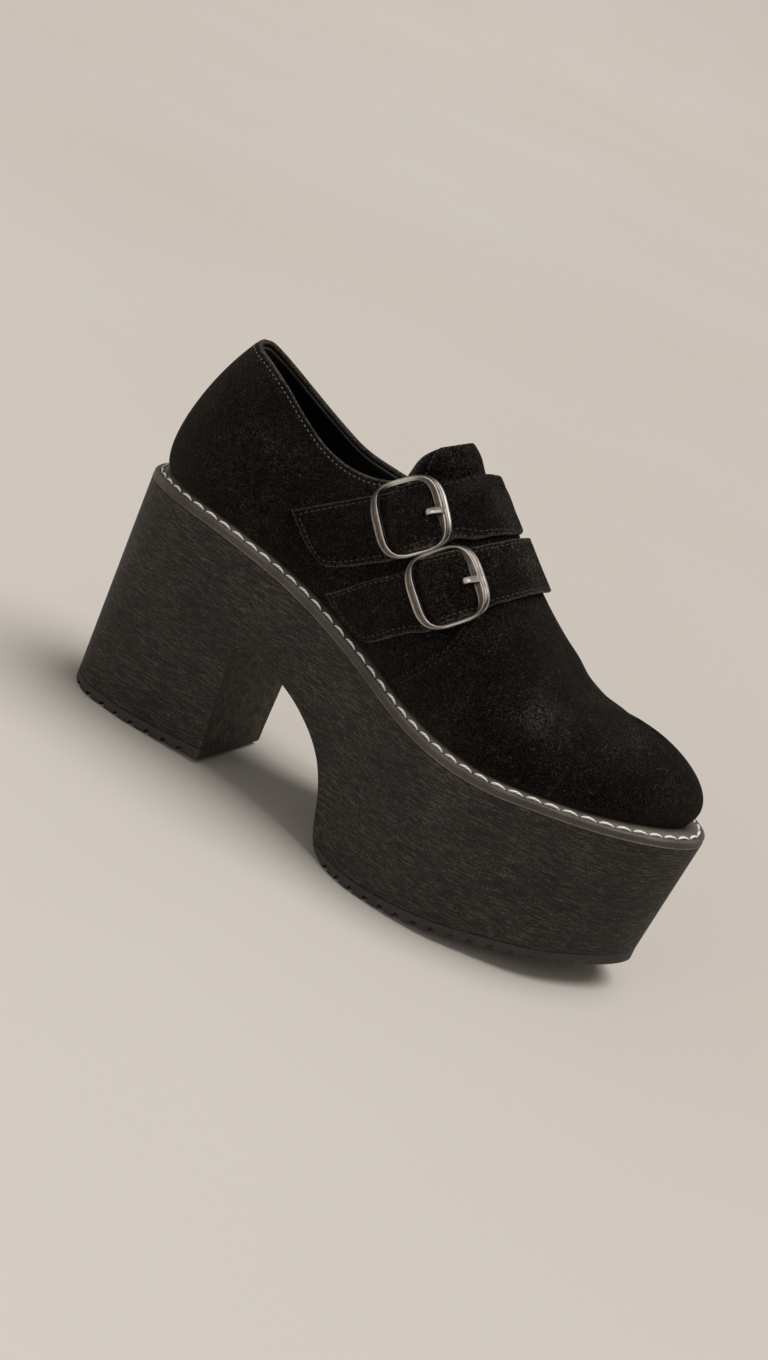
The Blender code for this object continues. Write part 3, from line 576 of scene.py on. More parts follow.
# the last column paints light: highlights on the bead and the outer edge, light on the ledge the
# upper shades
WELT_SECTION = named("inset height wear", (
    (0.9, 0.0, 0), (0.30, 0.02, 0.3), (0.02, 0.14, 0.9), (-0.10, 0.36, 0.9), (-0.06, 0.60, 0.4),
    (0.12, 0.78, 0), (0.16, 1.0, 0), (0.14, 1.7, 0), (0.06, 2.3, 0), (0.10, 2.65, 0.2),
    (0.30, 2.95, 0.5), (0.70, 3.20, 0.5), (1.20, 3.35, 0.4), (1.50, 3.40, 0.4),
    (1.78, 3.40, 0.4), (1.94, 3.32, 0.2), (2.08, 3.12, 0), (2.28, 2.88, 0), (2.56, 2.80, 0),
    (2.84, 2.88, 0), (3.04, 3.12, 0.4), (3.18, 3.38, 0.8), (3.40, 3.56, 0.8), (4.00, 3.84, 0.8),
    (5.00, 4.12, 0.6), (6.60, 4.40, 0.3), (9.00, 4.3, 0.1), (12.0, 3.4, 0), (12.0, 0.0, 0),
))  # from the outer foot over the bead, the edge, the groove and the ledge to the inner foot
GROOVE_INSET = 2.56  # middle of the cord's groove


def closed_line(inset):
    """The plan line as one loop: out along the outer side, back along the inner side."""
    outer, inner = side_lines(inset, ROUND_STEPS)
    return np.concatenate([outer, inner[-2:0:-1]])


rim = closed_line(0)
inwards = -rim[None, :, 2:4]
flat = rim[None, :, :2] + inwards * WELT_SECTION["inset"][:, None, None]
height = welt_top(flat[..., 0]) - WELT_THICK + WELT_SECTION["height"][:, None]
welt_points = np.concatenate([flat, height[..., None]], -1)
welt_faces = grid_faces(*welt_points.shape[:2], wrap_rows=True, wrap_columns=True)
around, over = length_along(welt_points, 1), length_along(welt_points, 0)
# painted light of the welt, taken from its section
welt_painted_light = np.broadcast_to(WELT_SECTION["wear"][:, None], around.shape).ravel()
welt = make_piece(
    "welt_strip", welt_points, welt_faces, welt_rubber, "welt",
    uv=np.stack([around, over], -1), wear=welt_painted_light,
)

# %% [markdown]
# ## Stitches
#
# A stitch is a short bulge of thread that dives into the material at both ends.  One small
# body is worked out for all stitches of a seam at once: along it the thickness follows a
# flattened half circle, and its middle stands higher than its ends.


# %% Stitches along a line
STITCH_ROUND = 0.45  # the power that rounds a stitch off towards both its ends


def along_line(line, pitch, closed=False):
    """Places and directions at every pitch along a line of points and their normals.

    line is x, y, z and the normal.  The pitch is stretched so that a whole number fits.
    """
    if closed:
        line = np.concatenate([line, line[:1]])
    travelled = length_along(line[:, :3], 0)
    count = max(2, round(travelled[-1] / pitch))
    at = (np.arange(count) + 0.5) * travelled[-1] / count
    place = at_lengths(at, travelled, line)
    before, after = (at_lengths(at + by, travelled, line[:, :3]) for by in (-0.5, 0.5))
    ahead, away = unit(after - before), unit(place[:, 3:6])
    aside = unit(np.cross(away, ahead))
    return place[:, :3], ahead, aside, np.cross(ahead, aside)


def make_stitches(name, lines, material, pitch, long, wide, thick, rise, slant=0.0, bow=0.0,
                  lean=0.0, steps=5, girth=6, closed=False):
    """Every stitch of a seam as one piece.

    t runs from -1 to 1 along a stitch and the angle round it.  Its half width and half
    thickness follow (1 - t^2)^STITCH_ROUND, and its middle line rises and bows aside as 1 - t^2.
    It lies at a slant, and lean makes it thicker where it starts than where it ends.
    """
    t = np.linspace(-1, 1, steps)[None, :, None, None]
    angle = np.linspace(0, 2 * math.pi, girth, endpoint=False)[None, None, :, None]
    full = (1 - t**2) ** STITCH_ROUND * (1 - lean * t)
    bodies = []
    for line in lines:
        place, ahead, aside, away = (v[:, None, None, :] for v in along_line(line, pitch, closed))
        sideways = slant * t + bow * (1 - t**2) + wide / 2 * full * np.cos(angle)
        upwards = rise * (1 - t**2) + thick / 2 * full * np.sin(angle)
        bodies.append(place + ahead * long / 2 * t + aside * sideways + away * upwards)
    points = np.concatenate(bodies)
    count = len(points)
    one = grid_faces(steps, girth, wrap_columns=True)
    faces = (one[None] + (np.arange(count) * steps * girth)[:, None, None]).reshape(-1, 4)
    u = np.broadcast_to(np.linspace(0, long, steps)[:, None], (steps, girth))
    v = np.broadcast_to(np.linspace(0, wide * math.pi, girth)[None, :], (steps, girth))
    uv = np.broadcast_to(np.stack([u, v], -1), (count, steps, girth, 2))
    print(f"{name}: {count} stitches")
    return make_piece(name, points, faces, material, None, uv=uv, sharp=80, merge=0.0008)


# %% Cord of the welt
CORD_SUNK = 0.40  # the ends of a stitch lie this far under the welt's top face
groove = closed_line(GROOVE_INSET)
straight_up = np.broadcast_to([0.0, 0.0, 1.0], (len(groove), 3))
cord_line = np.column_stack([groove[:, :2], welt_top(groove[:, 0]) - CORD_SUNK, straight_up])
welt_cord = make_stitches(
    "welt_cord", [cord_line], cord, pitch=7.0, long=6.7, wide=1.2, thick=1.05, rise=0.72,
    slant=-0.22, bow=0.34, lean=0.25, steps=11, girth=8, closed=True,
)

# %% [markdown]
# ## The platform
#
# Heel, arch and platform are one moulding.  Seen from the side it is a solid with a hollow
# cut right across it, so the wall is a grid between two lines: the line of its foot, which
# runs along the heel, up the breast, over the arch and down to the ball, and the line under
# the welt.  The hollow's ceiling joins the same foot line straight across the shoe.

# %% Tables of the platform
TREAD_THICK = 4.5
TOE_SPRING, SPRING_START = 14.0, 165.0  # how high the toe stands off the floor, and from where
SPRING_POWER = 1.5  # 1 would be a straight slope up to the toe
BREAST_LIFT, LIFT_START, HEEL_BREAST = 2.0, 35.0, 73.3
LIFT_END = HEEL_BREAST + 8
ARCH_MIDDLE = 110.0
FOOT = named("along inset", (
    (0, 0.2), (8, 0.8), (14, 1.9), (24, 5.0), (36, 6.6), (54, 7.7), (75, 8.2), (100, 6.0),
    (120, 2.8), (134, 1.0), (142, -0.6), (150, -3.0), (160, -4.0), (171, -2.8), (184, -1.2),
    (198, 0.2), (214, 1.4), (232, 2.8), (248, 4.2), (262, 5.0),
))  # how far in the foot of the wall stands from the welt's edge
ARCH = named("along height", (
    (73.6, -4.0), (72.8, 23.5), (72.2, 48.5), (73.6, 53.1), (77.5, 54.9), (85.6, 53.7),
    (97.8, 49.9), (108.0, 45.1), (117.7, 38.7), (124.9, 31.5), (130.3, 22.1), (133.6, 12.9),
    (136.2, 6.7), (139.8, 2.4), (145.6, 0.2), (152.0, -4.0),
))  # side view of the hollow
ARCH_CORNER = 3.2  # the row of that table at which the breast has turned into the arch
HOLLOW_END = 150.0  # behind this place the tread's edge follows the hollow


def ground(x):
    """Underside of the tread: flat under heel and ball, rising to the breast and the toe."""
    heel = BREAST_LIFT * ease(LIFT_START, LIFT_END, x)
    past_ball = np.clip((x - SPRING_START) / (LENGTH - SPRING_START), 0, None)
    toe = TOE_SPRING * past_ball**SPRING_POWER
    return np.where(x < ARCH_MIDDLE, heel, toe)


def foot_inset(x):
    """How far the foot of the platform's wall stands in from the welt's edge."""
    return smooth(x, FOOT["along"], FOOT["inset"])


print("the toe stands", round(float(ground(LENGTH)), 1), "mm off the floor")

# %% The platform's wall as a function of place and height
wall_line = side_lines(0, 3000)
SEARCH_STEPS, SEARCH_GAIN = 6, 0.85


def wall_at(side, place, share):
    """A point of the wall: place from heel to toe along the edge, share from foot to top.

    The plan line moves in by the foot's inset, less and less towards the top, and the
    height goes evenly from the tread to the underside of the welt.
    """
    even = np.linspace(0, 1, len(wall_line[side]))
    x0, y0, nx, ny = (np.interp(place, even, column) for column in wall_line[side].T)
    inset = foot_inset(x0) * (1 - share)
    x, y = x0 - nx * inset, y0 - ny * inset
    low = ground(x) + TREAD_THICK
    high = welt_top(x) - WELT_THICK
    return np.stack([x, y, low * (1 - share) + high * share], -1)


def place_of(side, x, z):
    """Where on the wall a point of the side view lies, as place and share.

    Both are found by stepping towards the target: x grows with place and z with share.
    """
    even = np.linspace(0, 1, len(wall_line[side]))
    low, high = ground(x) + TREAD_THICK, welt_top(x) - WELT_THICK
    share = np.clip((z - low) / (high - low), 0, 1)
    place = np.interp(x, wall_line[side][:, 0], even)
    for _ in range(SEARCH_STEPS):
        miss = x - wall_at(side, place, share)[..., 0]
        place = place + miss / LENGTH * SEARCH_GAIN
    return place, share


print("the wall is", round(float(wall_at(0, 0.0, 1.0)[2]), 1), "mm high at the heel")

# %% Foot line of the wall, and the grid above it
STEPS = {"heel": 130, "breast": 40, "arch": 110, "forefoot": 210}
TOP_BACK, TOP_FORWARD = 0.80, 0.02  # how the columns spread towards the top of the wall
arch_row = np.arange(len(ARCH["along"]))
arch_fine = np.linspace(0, arch_row[-1], 4001)
arch_x = smooth(arch_fine, arch_row, ARCH["along"])
arch_z = smooth(arch_fine, arch_row, ARCH["height"])
above = arch_z > ground(arch_x) + TREAD_THICK  # the part of the hollow in the moulding
first, last = np.flatnonzero(above)[[0, -1]]
corner = np.argmax(np.where(arch_fine < ARCH_CORNER, arch_z, 0))
hollow_line = np.stack([arch_x, arch_z], 1)
breast = spaced(hollow_line[first:corner], STEPS["breast"] - 1)
ceiling = spaced(hollow_line[corner - 1 : last + 1], STEPS["arch"] - 1)
hollow_x, hollow_z = np.concatenate([breast, ceiling[1:]]).T
hollow_long = hollow_x.max() - hollow_x.min()
print("hollow", hollow_long.round(1), "mm long and", hollow_z.max().round(1), "mm high")


def wall_grid(side, rows):
    """The wall of one side: a straight blend, in place and share, from foot line to top."""
    place, share = place_of(side, hollow_x, hollow_z)
    toe_start = place[-1]
    low_place = np.concatenate([
        np.linspace(0, place[0], STEPS["heel"] + 1)[:-1], place,
        np.linspace(toe_start, 1, STEPS["forefoot"] + 1)[1:],
    ])
    low_share = np.concatenate([np.zeros(STEPS["heel"]), share, np.zeros(STEPS["forefoot"])])
    low_share[STEPS["heel"]] = 0
    bend = STEPS["breast"]
    spread = ease(0, 1, np.linspace(0, 1, len(place) - bend))
    top_place = np.concatenate([
        np.linspace(0, place[0] * TOP_BACK, STEPS["heel"] + 1)[:-1],
        np.linspace(place[0] * TOP_BACK, place[0], bend),
        place[bend:] + TOP_FORWARD * spread,
        np.linspace(toe_start + TOP_FORWARD, 1, STEPS["forefoot"] + 1)[1:],
    ])
    v = np.asarray(rows)[:, None]
    return wall_at(side, low_place * (1 - v) + top_place * v, low_share * (1 - v) + v)


# %% The platform's section, closed round its edges
FOOT_EDGE, TOP_EDGE = 0.7, 0.35  # radius worn round the edges of the moulding
CORNER = np.array([0.0, 0.12, 0.3, 0.5, 0.7, 0.88, 1.0])
MOST_PULLED = 0.3  # no corner takes more than this share of the way to its neighbour
WALL_ROWS, FILL_ROWS = 34, 12


def rounded_corner(a, b, c):
    """Points that turn from a to c round the corner b: a parabola between the three."""
    t = CORNER[:, None, None]
    return a * (1 - t) ** 2 + b * 2 * t * (1 - t) + c * t**2


def pulled(corner_points, towards, distance):
    """The point `distance` from each corner towards another, or MOST_PULLED of the way."""
    way = towards - corner_points
    long = np.linalg.norm(way, axis=-1, keepdims=True)
    return corner_points + way / np.maximum(long, 1e-9) * np.minimum(distance, long * MOST_PULLED)


walls = [wall_grid(side, np.linspace(0, 1, WALL_ROWS)) for side in (0, 1)]
ring = []
for grid, other in ((walls[0], walls[1]), (walls[1], walls[0])):
    foot, top = grid[0], grid[-1]
    ring.append(np.concatenate([
        rounded_corner(pulled(foot, other[0], FOOT_EDGE), foot, pulled(foot, grid[3], FOOT_EDGE)),
        grid[1:-1],
        rounded_corner(pulled(top, grid[-4], TOP_EDGE), top, pulled(top, other[-1], TOP_EDGE)),
    ]))
across = np.linspace(0, 1, FILL_ROWS)[1:-1, None, None]
top_fill = ring[0][-1] * (1 - across) + ring[1][-1] * across
foot_fill = ring[1][0] * (1 - across) + ring[0][0] * across
platform_points = np.concatenate([ring[0], top_fill, ring[1][::-1], foot_fill])
platform_faces = grid_faces(*platform_points.shape[:2], wrap_rows=True)
PAST_CORNER = 8  # columns of the ceiling that are sawn like the breast
sawn = np.zeros(platform_points.shape[:2])
sawn[-len(foot_fill):, STEPS["heel"] : STEPS["heel"] + STEPS["breast"] + PAST_CORNER] = 1.0
platform = make_piece(
    "platform_moulding", platform_points, platform_faces, sole_foam, "platform", sharp=50,
    wear=sawn.ravel(),
)

# %% [markdown]
# ## The treads
#
# A tread is a rubber sheet cut to the plan of the sole, with grooves across it that show as
# notches along its edge.  The grid runs along x, closely spaced at the walls of a groove,
# and the depth of the groove is added to the height of the underside.

# %% Treads
GROOVE_WIDE, GROOVE_DEEP = 2.6, 1.7
GROOVE_FLOOR = 0.37  # its floor is flat out to this share of its width from its middle
GROOVE_WALLS = np.array([-1.12, -1.0, -0.86, -0.74, 0.74, 0.86, 1.0, 1.12])  # in half widths
STATIONS, UNDER_ROWS, UNDER_REACH = 150, 19, 0.9
foot_sides = side_lines(foot_inset, 1500)
TREADS = {
    "heel": dict(first=9.4, last=70.0, pitch=7.9, start=foot_sides[0][0, 0], end=HEEL_BREAST),
    "forefoot": dict(
        first=148.6, last=250.0, pitch=7.0, start=arch_x[last], end=foot_sides[0][-1, 0],
    ),
}  # the first groove, where they stop, how far apart they are, and the tread's ends
TREAD_EDGE = named("share down", ((1, 1), (1, 0.22), (0.993, 0.08), (0.975, 0)))


def tread_stations(tread):
    """Where the tread is cut across: close at its ends, and twice at each wall of a groove."""
    span = tread["end"] - tread["start"]
    base = tread["start"] + span * (1 - np.cos(np.linspace(0, math.pi, STATIONS))) / 2
    grooves = np.arange(tread["first"], tread["last"], tread["pitch"])
    walls_at = grooves[:, None] + GROOVE_WIDE / 2 * GROOVE_WALLS
    return np.unique(np.concatenate([base, walls_at.ravel()])), grooves


def tread_points(tread):
    """Rings round the section of the tread at each station, with its lower edges worn."""
    x, grooves = tread_stations(tread)
    outer, inner = (np.interp(x, line[:, 0], line[:, 1]) for line in foot_sides)
    gap = abs(x[:, None] - grooves[None, :]).min(1)
    notch = GROOVE_DEEP * (1 - ease(GROOVE_WIDE * GROOVE_FLOOR, GROOVE_WIDE / 2, gap))
    if tread["start"] > ARCH_MIDDLE:  # its back edge follows the hollow up to the moulding
        hollow_floor = np.interp(x, arch_x[corner:], arch_z[corner:])
        notch = np.maximum(notch, np.where(x < HOLLOW_END, hollow_floor - ground(x), 0))
    low = ground(x) + np.clip(notch, 0, TREAD_THICK)
    high = ground(x) + TREAD_THICK
    middle, half = (outer + inner) / 2, (outer - inner) / 2
    edge = TREAD_EDGE["share"]
    share = np.concatenate([edge, np.linspace(UNDER_REACH, -UNDER_REACH, UNDER_ROWS), -edge[::-1]])
    down = np.concatenate([TREAD_EDGE["down"], np.zeros(UNDER_ROWS), TREAD_EDGE["down"][::-1]])
    over = share[::-1][1:-1]
    y = middle + half * np.concatenate([share, over])[:, None]
    top = np.broadcast_to(high, (len(over), len(x)))
    z = np.concatenate([low + (high - low) * down[:, None], top])
    return np.stack([np.broadcast_to(x, y.shape), y, z], -1)


for which, tread in TREADS.items():
    grid = tread_points(tread)
    rows, columns = grid.shape[:2]
    cut_end = [] if which == "forefoot" else [(np.arange(rows) * columns + columns - 1).tolist()]
    piece = make_piece(
        "tread_" + which, grid, grid_faces(rows, columns, wrap_rows=True), tread_rubber,
        "outsole_" + which, sharp=38, caps=cut_end,
    )

# %% [markdown]
# ## The upper
#
# The upper is pulled over a last, so its shape is the last's shape: at each place along the
# feather line, where upper and welt meet, the section is part of a rounded quarter circle,
# from the welt up to the topline or, in front, to the ridge of instep and vamp.  It is one
# skin with a thickness.

# %% Measures of the upper
SECTION_POWER = 2.05  # 2 is an ellipse, and more is a squarer section
BELLY_POWER, TOE_BELLY = 0.5, 0.38  # how high the belly is fullest, and what the toe adds
THROAT = 0.50  # share of each side where the topline reaches the ridge
DIP_START, THROAT_DIP = 0.43, 0.16  # the edge is cut lower under the strap
SLOPE_STEP = 0.004  # step used to take a slope
FEATHER_INSET = 7.5  # from the welt's edge to the line where the upper meets it
TOE_TUCK, TUCK_START = 2.1, 0.7  # how much further in the toe meets the welt, and from which share
TOP = named("round along lateral lateral_top medial medial_top turn belly", (
    (0.00, 18.6, 0.0, 158.5, 0.0, 158.5, 52, 4.5),
    (0.05, 20.4, -6.2, 158.1, 6.0, 157.7, 52, 5.0),
    (0.10, 25.4, -10.4, 156.7, 10.2, 154.9, 53, 4.8),
    (0.15, 33.6, -13.2, 154.3, 12.9, 150.7, 54, 4.5),
    (0.20, 44.6, -15.2, 149.4, 14.6, 145.5, 55, 4.1),
    (0.25, 57.4, -16.6, 142.4, 15.6, 140.1, 56, 3.8),
    (0.30, 70.4, -17.6, 136.7, 16.2, 135.5, 58, 3.5),
    (0.35, 83.4, -18.6, 134.7, 16.6, 133.7, 61, 3.4),
    (0.40, 97.0, -18.8, 136.7, 16.4, 134.0, 66, 3.4),
    (0.45, 115.0, -13.2, 144.3, 14.4, 142.0, 78, 3.4),
    *(
        (share, x, y, z, y, z, 90, belly) for share, x, y, z, belly in (
            (0.50, 131.9, 2.0, 151.9, 3.4), (0.53, 140.4, 2.3, 144.3, 3.4),
            (0.56, 148.2, 2.6, 136.6, 3.4), (0.62, 165.2, 3.0, 121.4, 3.4),
            (0.68, 179.6, 3.4, 109.9, 3.5), (0.74, 191.4, 3.8, 100.1, 3.9),
            (0.80, 203.0, 4.0, 96.4, 4.6), (0.88, 213.6, 4.2, 96.9, 5.5),
            (1.00, 221.6, 4.4, 97.6, 5.9),
        )
    ),  # in front of the throat both sides meet in one ridge
))
feather = side_lines(FEATHER_INSET, 1200)
print("from heel to toe the top of the upper is", TOP["lateral_top"].round(0), "mm high")


# %% Shape of the upper's outer face
def topline(side, share, ending):
    """The topline of one side, and in front of the throat the ridge that both sides share."""
    outer = smooth(share, TOP["round"], TOP["lateral" + ending])
    inner = smooth(share, TOP["round"], TOP["medial" + ending])
    return np.where(share < THROAT, outer if side < 0 else inner, (outer + inner) / 2)


def upper_at(side, share, rise):
    """A point of the outer face: share from heel to toe, rise from the welt to the top.

    Inwards it goes as 1 - cos and upwards as sin of an angle, both raised to a power, and a
    belly pushes it outwards by a half wave, which is fullest a quarter of the way up, and
    higher at the toe, where the foot of the curve is also tucked in.
    """
    line = feather[0] if side < 0 else feather[1]
    even = np.linspace(0, 1, len(line))
    foot_x, foot_y, out_x, out_y = (np.interp(share, even, column) for column in line.T)
    foot_z = welt_top(foot_x)
    front = ease(TUCK_START, 1, share)
    foot_x, foot_y = foot_x - out_x * TOE_TUCK * front, foot_y - out_y * TOE_TUCK * front
    turn = np.radians(np.minimum(smooth(share, TOP["round"], TOP["turn"]), 90))
    belly = smooth(share, TOP["round"], TOP["belly"])
    top_x = smooth(share, TOP["round"], TOP["along"])
    top_y, top_z = topline(side, share, ""), topline(side, share, "_top")
    angle, power = turn * rise, 2 / SECTION_POWER
    inwards = (1 - np.cos(angle) ** power) / (1 - np.cos(turn) ** power)
    upwards = np.sin(angle) ** power / np.sin(turn) ** power
    swell = belly * np.sin(math.pi * upwards ** (BELLY_POWER + TOE_BELLY * front))
    x = foot_x + (top_x - foot_x) * inwards + out_x * swell
    y = foot_y + (top_y - foot_y) * inwards + out_y * swell
    return np.stack([x, y, foot_z + (top_z - foot_z) * upwards], -1)


def on_upper(share, wrap):
    """A point of the outer face, with wrap from 0 over 1 at the ridge to 2."""
    share, wrap = np.broadcast_arrays(np.asarray(share, float), np.asarray(wrap, float))
    outer = upper_at(-1, share, np.clip(wrap, 0, 1))
    inner = upper_at(1, share, np.clip(2 - wrap, 0, 1))
    return np.where((wrap <= 1)[..., None], outer, inner)


def off_upper(share, wrap, height=0.0, with_normal=False):
    """A point `height` off the outer face, along the face's own normal."""
    along = on_upper(share + SLOPE_STEP, wrap) - on_upper(share - SLOPE_STEP, wrap)
    round_it = on_upper(share, wrap + SLOPE_STEP * 4) - on_upper(share, wrap - SLOPE_STEP * 4)
    normal = unit(np.cross(along, round_it))
    place = on_upper(share, wrap) + normal * np.asarray(height, float)[..., None]
    return np.concatenate([place, normal], -1) if with_normal else place


def edge_height(share):
    """The share of the full rise that is left after the throat is cut lower."""
    dip = np.clip((share - DIP_START) / (THROAT - DIP_START), 0, 1)
    return 1 - THROAT_DIP * np.sin(math.pi * dip) ** 0.8


print("toe at half height:", upper_at(-1, np.array(1.0), np.array(0.5)).round(1))


# %% [markdown]
# ### Panels and seams
#
# The vamp covers the front and overlaps the quarters behind it.  The overlap shows as a cut
# edge with two rows of stitches in front of it.  A column of the grid is bent to run exactly
# along that edge, so that the step is crisp, and the quarter is set lower just behind it.

# %% Columns and rows of the upper
SEAM = named("rise share", (
    (0.0, 0.508), (0.08, 0.531), (0.2, 0.556), (0.3, 0.571), (0.45, 0.577), (0.65, 0.575),
    (1.0, 0.57),
))
SEAM_COLUMN = 0.57  # where the seam reaches the ridge, under the strap
SEAM_REACH = 0.11  # share of the side over which the columns bend with the seam
SEAM_STEP, STEP_LONG = 0.75, 16.0  # thickness of the vamp's edge, and how far behind it that shows
SEAM_ROWS = (1.3, 3.3)  # the rows of stitches, in millimetres in front of the edge
BACK_ROW = 1.3  # and the one on each side of the back seam
SIDE_LONG = 285.0  # rough length of one side of the feather line
BACK_GROOVE = 0.45  # the back seam is pulled in between its two rows of stitches
FURROW = 0.22  # depth to which a row of stitches pulls the suede in
ROW_WIDE, LINE_WIDE = 0.55, 0.5  # widths of a furrow in front of the vamp's edge, and elsewhere
COLLAR_ROW = 2.8  # the collar's row of stitches, below the edge
BASE_COLUMNS, CLOSEST = 231, 0.00009
RIDGE_BLEND = 0.03  # share over which an open edge closes into the ridge


def seam_share(rise):
    """Share of the side at which the vamp's edge runs, for a rise."""
    return smooth(rise, SEAM["rise"], SEAM["share"])


def bend_columns(column, rise):
    """Moves a column near the seam along with it, less and less over a tenth of the side."""
    shift = seam_share(rise) - SEAM_COLUMN
    return column + shift * (1 - ease(0.0, SEAM_REACH, abs(column - SEAM_COLUMN)))


def close_columns():
    """Columns for one side, closer at the back seam and beside the vamp's edge."""
    base = np.linspace(0, 1, BASE_COLUMNS)
    back_seam = np.array([0.35, 0.8, 1.3]) / SIDE_LONG
    from_seam = np.array([-1.6, -0.8, -0.3, -0.04, 0.35, 0.8, 1.3, 1.8, 3.3])
    beside = SEAM_COLUMN + from_seam / SIDE_LONG
    columns = np.concatenate([base, back_seam, beside, [SEAM_COLUMN, THROAT]])
    columns = np.unique(columns.round(6))
    return columns[np.diff(columns, prepend=-1) >= CLOSEST]


columns = close_columns()
EDGE_ROWS = np.array([0.0, 0.5, 1.1, 1.8, 2.4, 2.8, 3.2, 3.8, 4.8, 6.2])  # below the edge
side_high = np.stack([
    length_along(upper_at(side, columns[:, None], np.linspace(0, 1, 60)[None, :]), 1)[:, -1]
    for side in (-1, 1)
])
print("upper: columns", len(columns), "rise of the sides up to", side_high.max().round(1), "mm")


# %% Grid over both sides of the upper
def rises(side, below, count):
    """Rows of rise for every column: evenly from the welt, then at set depths to the edge."""
    limit = edge_height(columns)
    high = side_high[side]
    meet = ease(THROAT - RIDGE_BLEND, THROAT, columns)[:, None]  # every shell goes up to the ridge
    below = below[None, ::-1] - below[0] * meet
    depths = limit[:, None] - below / high[:, None]
    even = np.linspace(0, 1, count, endpoint=False)[None, :] * depths[:, :1]
    return np.concatenate([even, depths], 1)


def side_points(side, below, count):
    """The outer face of one side as columns by rows, with the seam's own column bent."""
    rise = rises(side, below, count)
    share = bend_columns(columns[:, None], rise)
    share = np.where(columns[:, None] <= THROAT, np.minimum(share, THROAT), share)
    return upper_at(-1 if side == 0 else 1, share, rise), share, rise


def loop_of(outer, inner):
    """Both sides as one closed run of columns: heel to toe outside, and back inside."""
    return np.concatenate([outer, inner[-2:0:-1]])


def grid_normals(grid):
    """Normals of a closed run of columns, made the same where the two sides meet."""
    around = np.roll(grid, -1, 0) - np.roll(grid, 1, 0)
    upwards = np.gradient(grid, axis=1)
    normal = np.cross(around, upwards)
    normal /= np.maximum(np.linalg.norm(normal, axis=-1), 1e-9)[..., None]  # none at the toe's end
    mirror = (-np.arange(len(grid))) % len(grid)
    meets = np.zeros(len(grid), bool)
    meets[: len(columns)] = columns >= THROAT
    meets |= meets[mirror]
    top = (normal[:, -1] + normal[mirror, -1]) / 2
    normal[meets, -1] = top[meets]
    return unit(normal)


# %% Relief of the suede panels
FOLDS = (
    (0.728, 0.52, 9.0, 4.5, 0.9), (0.700, 0.70, 6.0, 5.0, 0.6), (0.752, 0.70, 7.0, 4.0, -0.8),
    (0.690, 0.56, 5.0, 4.0, -0.5), (0.80, 0.60, 9.0, 6.0, 0.4),
)  # soft swells and dents where the vamp bends: share, rise, length, width and lift
PAINTED_SHEEN_PATCHES = (
    (0.728, 0.50, 8.5, 10.0, 0.42), (0.90, 0.72, 12.0, 11.0, 0.14),
)  # painted sheen highlights on the vamp's bend and the toe: share, rise, length, width and how much
UNDER_STRAP = (0.62, 0.9)  # the rise over which the vamp's edge fades out under a strap


def bell(distance, wide):
    """1 in the middle, falling off as exp(-(distance / wide)^2)."""
    return np.exp(-((distance / wide) ** 2))


def patches(table, share, rise, high):
    """Soft oval patches on the upper, added up."""
    return sum(
        much * bell((share - at) * SIDE_LONG, long) * bell((rise - up) * high, wide)
        for at, up, long, wide, much in table
    )


def panel_relief(share, rise, high):
    """Height added to the outer face, in millimetres.

    Just behind the vamp's edge it is lower by the vamp's thickness and comes back further
    behind, and a stitched line is drawn in by a narrow bell curve.
    """
    ahead = (share - seam_share(np.clip(rise, 0, 1))) * SIDE_LONG
    under_strap = 1 - ease(*UNDER_STRAP, rise)
    step = np.where(ahead < -0.02, -SEAM_STEP * (1 - ease(0, STEP_LONG, -ahead)), 0)
    rows = -FURROW * sum(bell(ahead - row, ROW_WIDE) for row in SEAM_ROWS)
    from_edge = (edge_height(share) - rise) * high
    is_open = 1 - ease(THROAT - RIDGE_BLEND, THROAT, share)
    collar = -FURROW * bell(from_edge - COLLAR_ROW, LINE_WIDE) * is_open
    back = -BACK_GROOVE * bell(share * SIDE_LONG, LINE_WIDE)
    return (step + rows) * under_strap + collar + back + patches(FOLDS, share, rise, high)


half_way_up = panel_relief(columns, 0.5, 60.0)
print("relief from", half_way_up.min().round(2), "to", half_way_up.max().round(2), "mm")


# %% [markdown]
# ### From skin to shell
#
# The outer rows are followed over a rounded edge and down again inside, so that the shell
# is one closed surface.  The edge rows are only used where the collar is open; in front of
# the throat the two sides are merged along the ridge instead.

# %% Shell between two offsets
LIP_BLEND = 0.025  # share over which the rounded lip of the edge flattens out at the throat
LIP_STEPS = 8


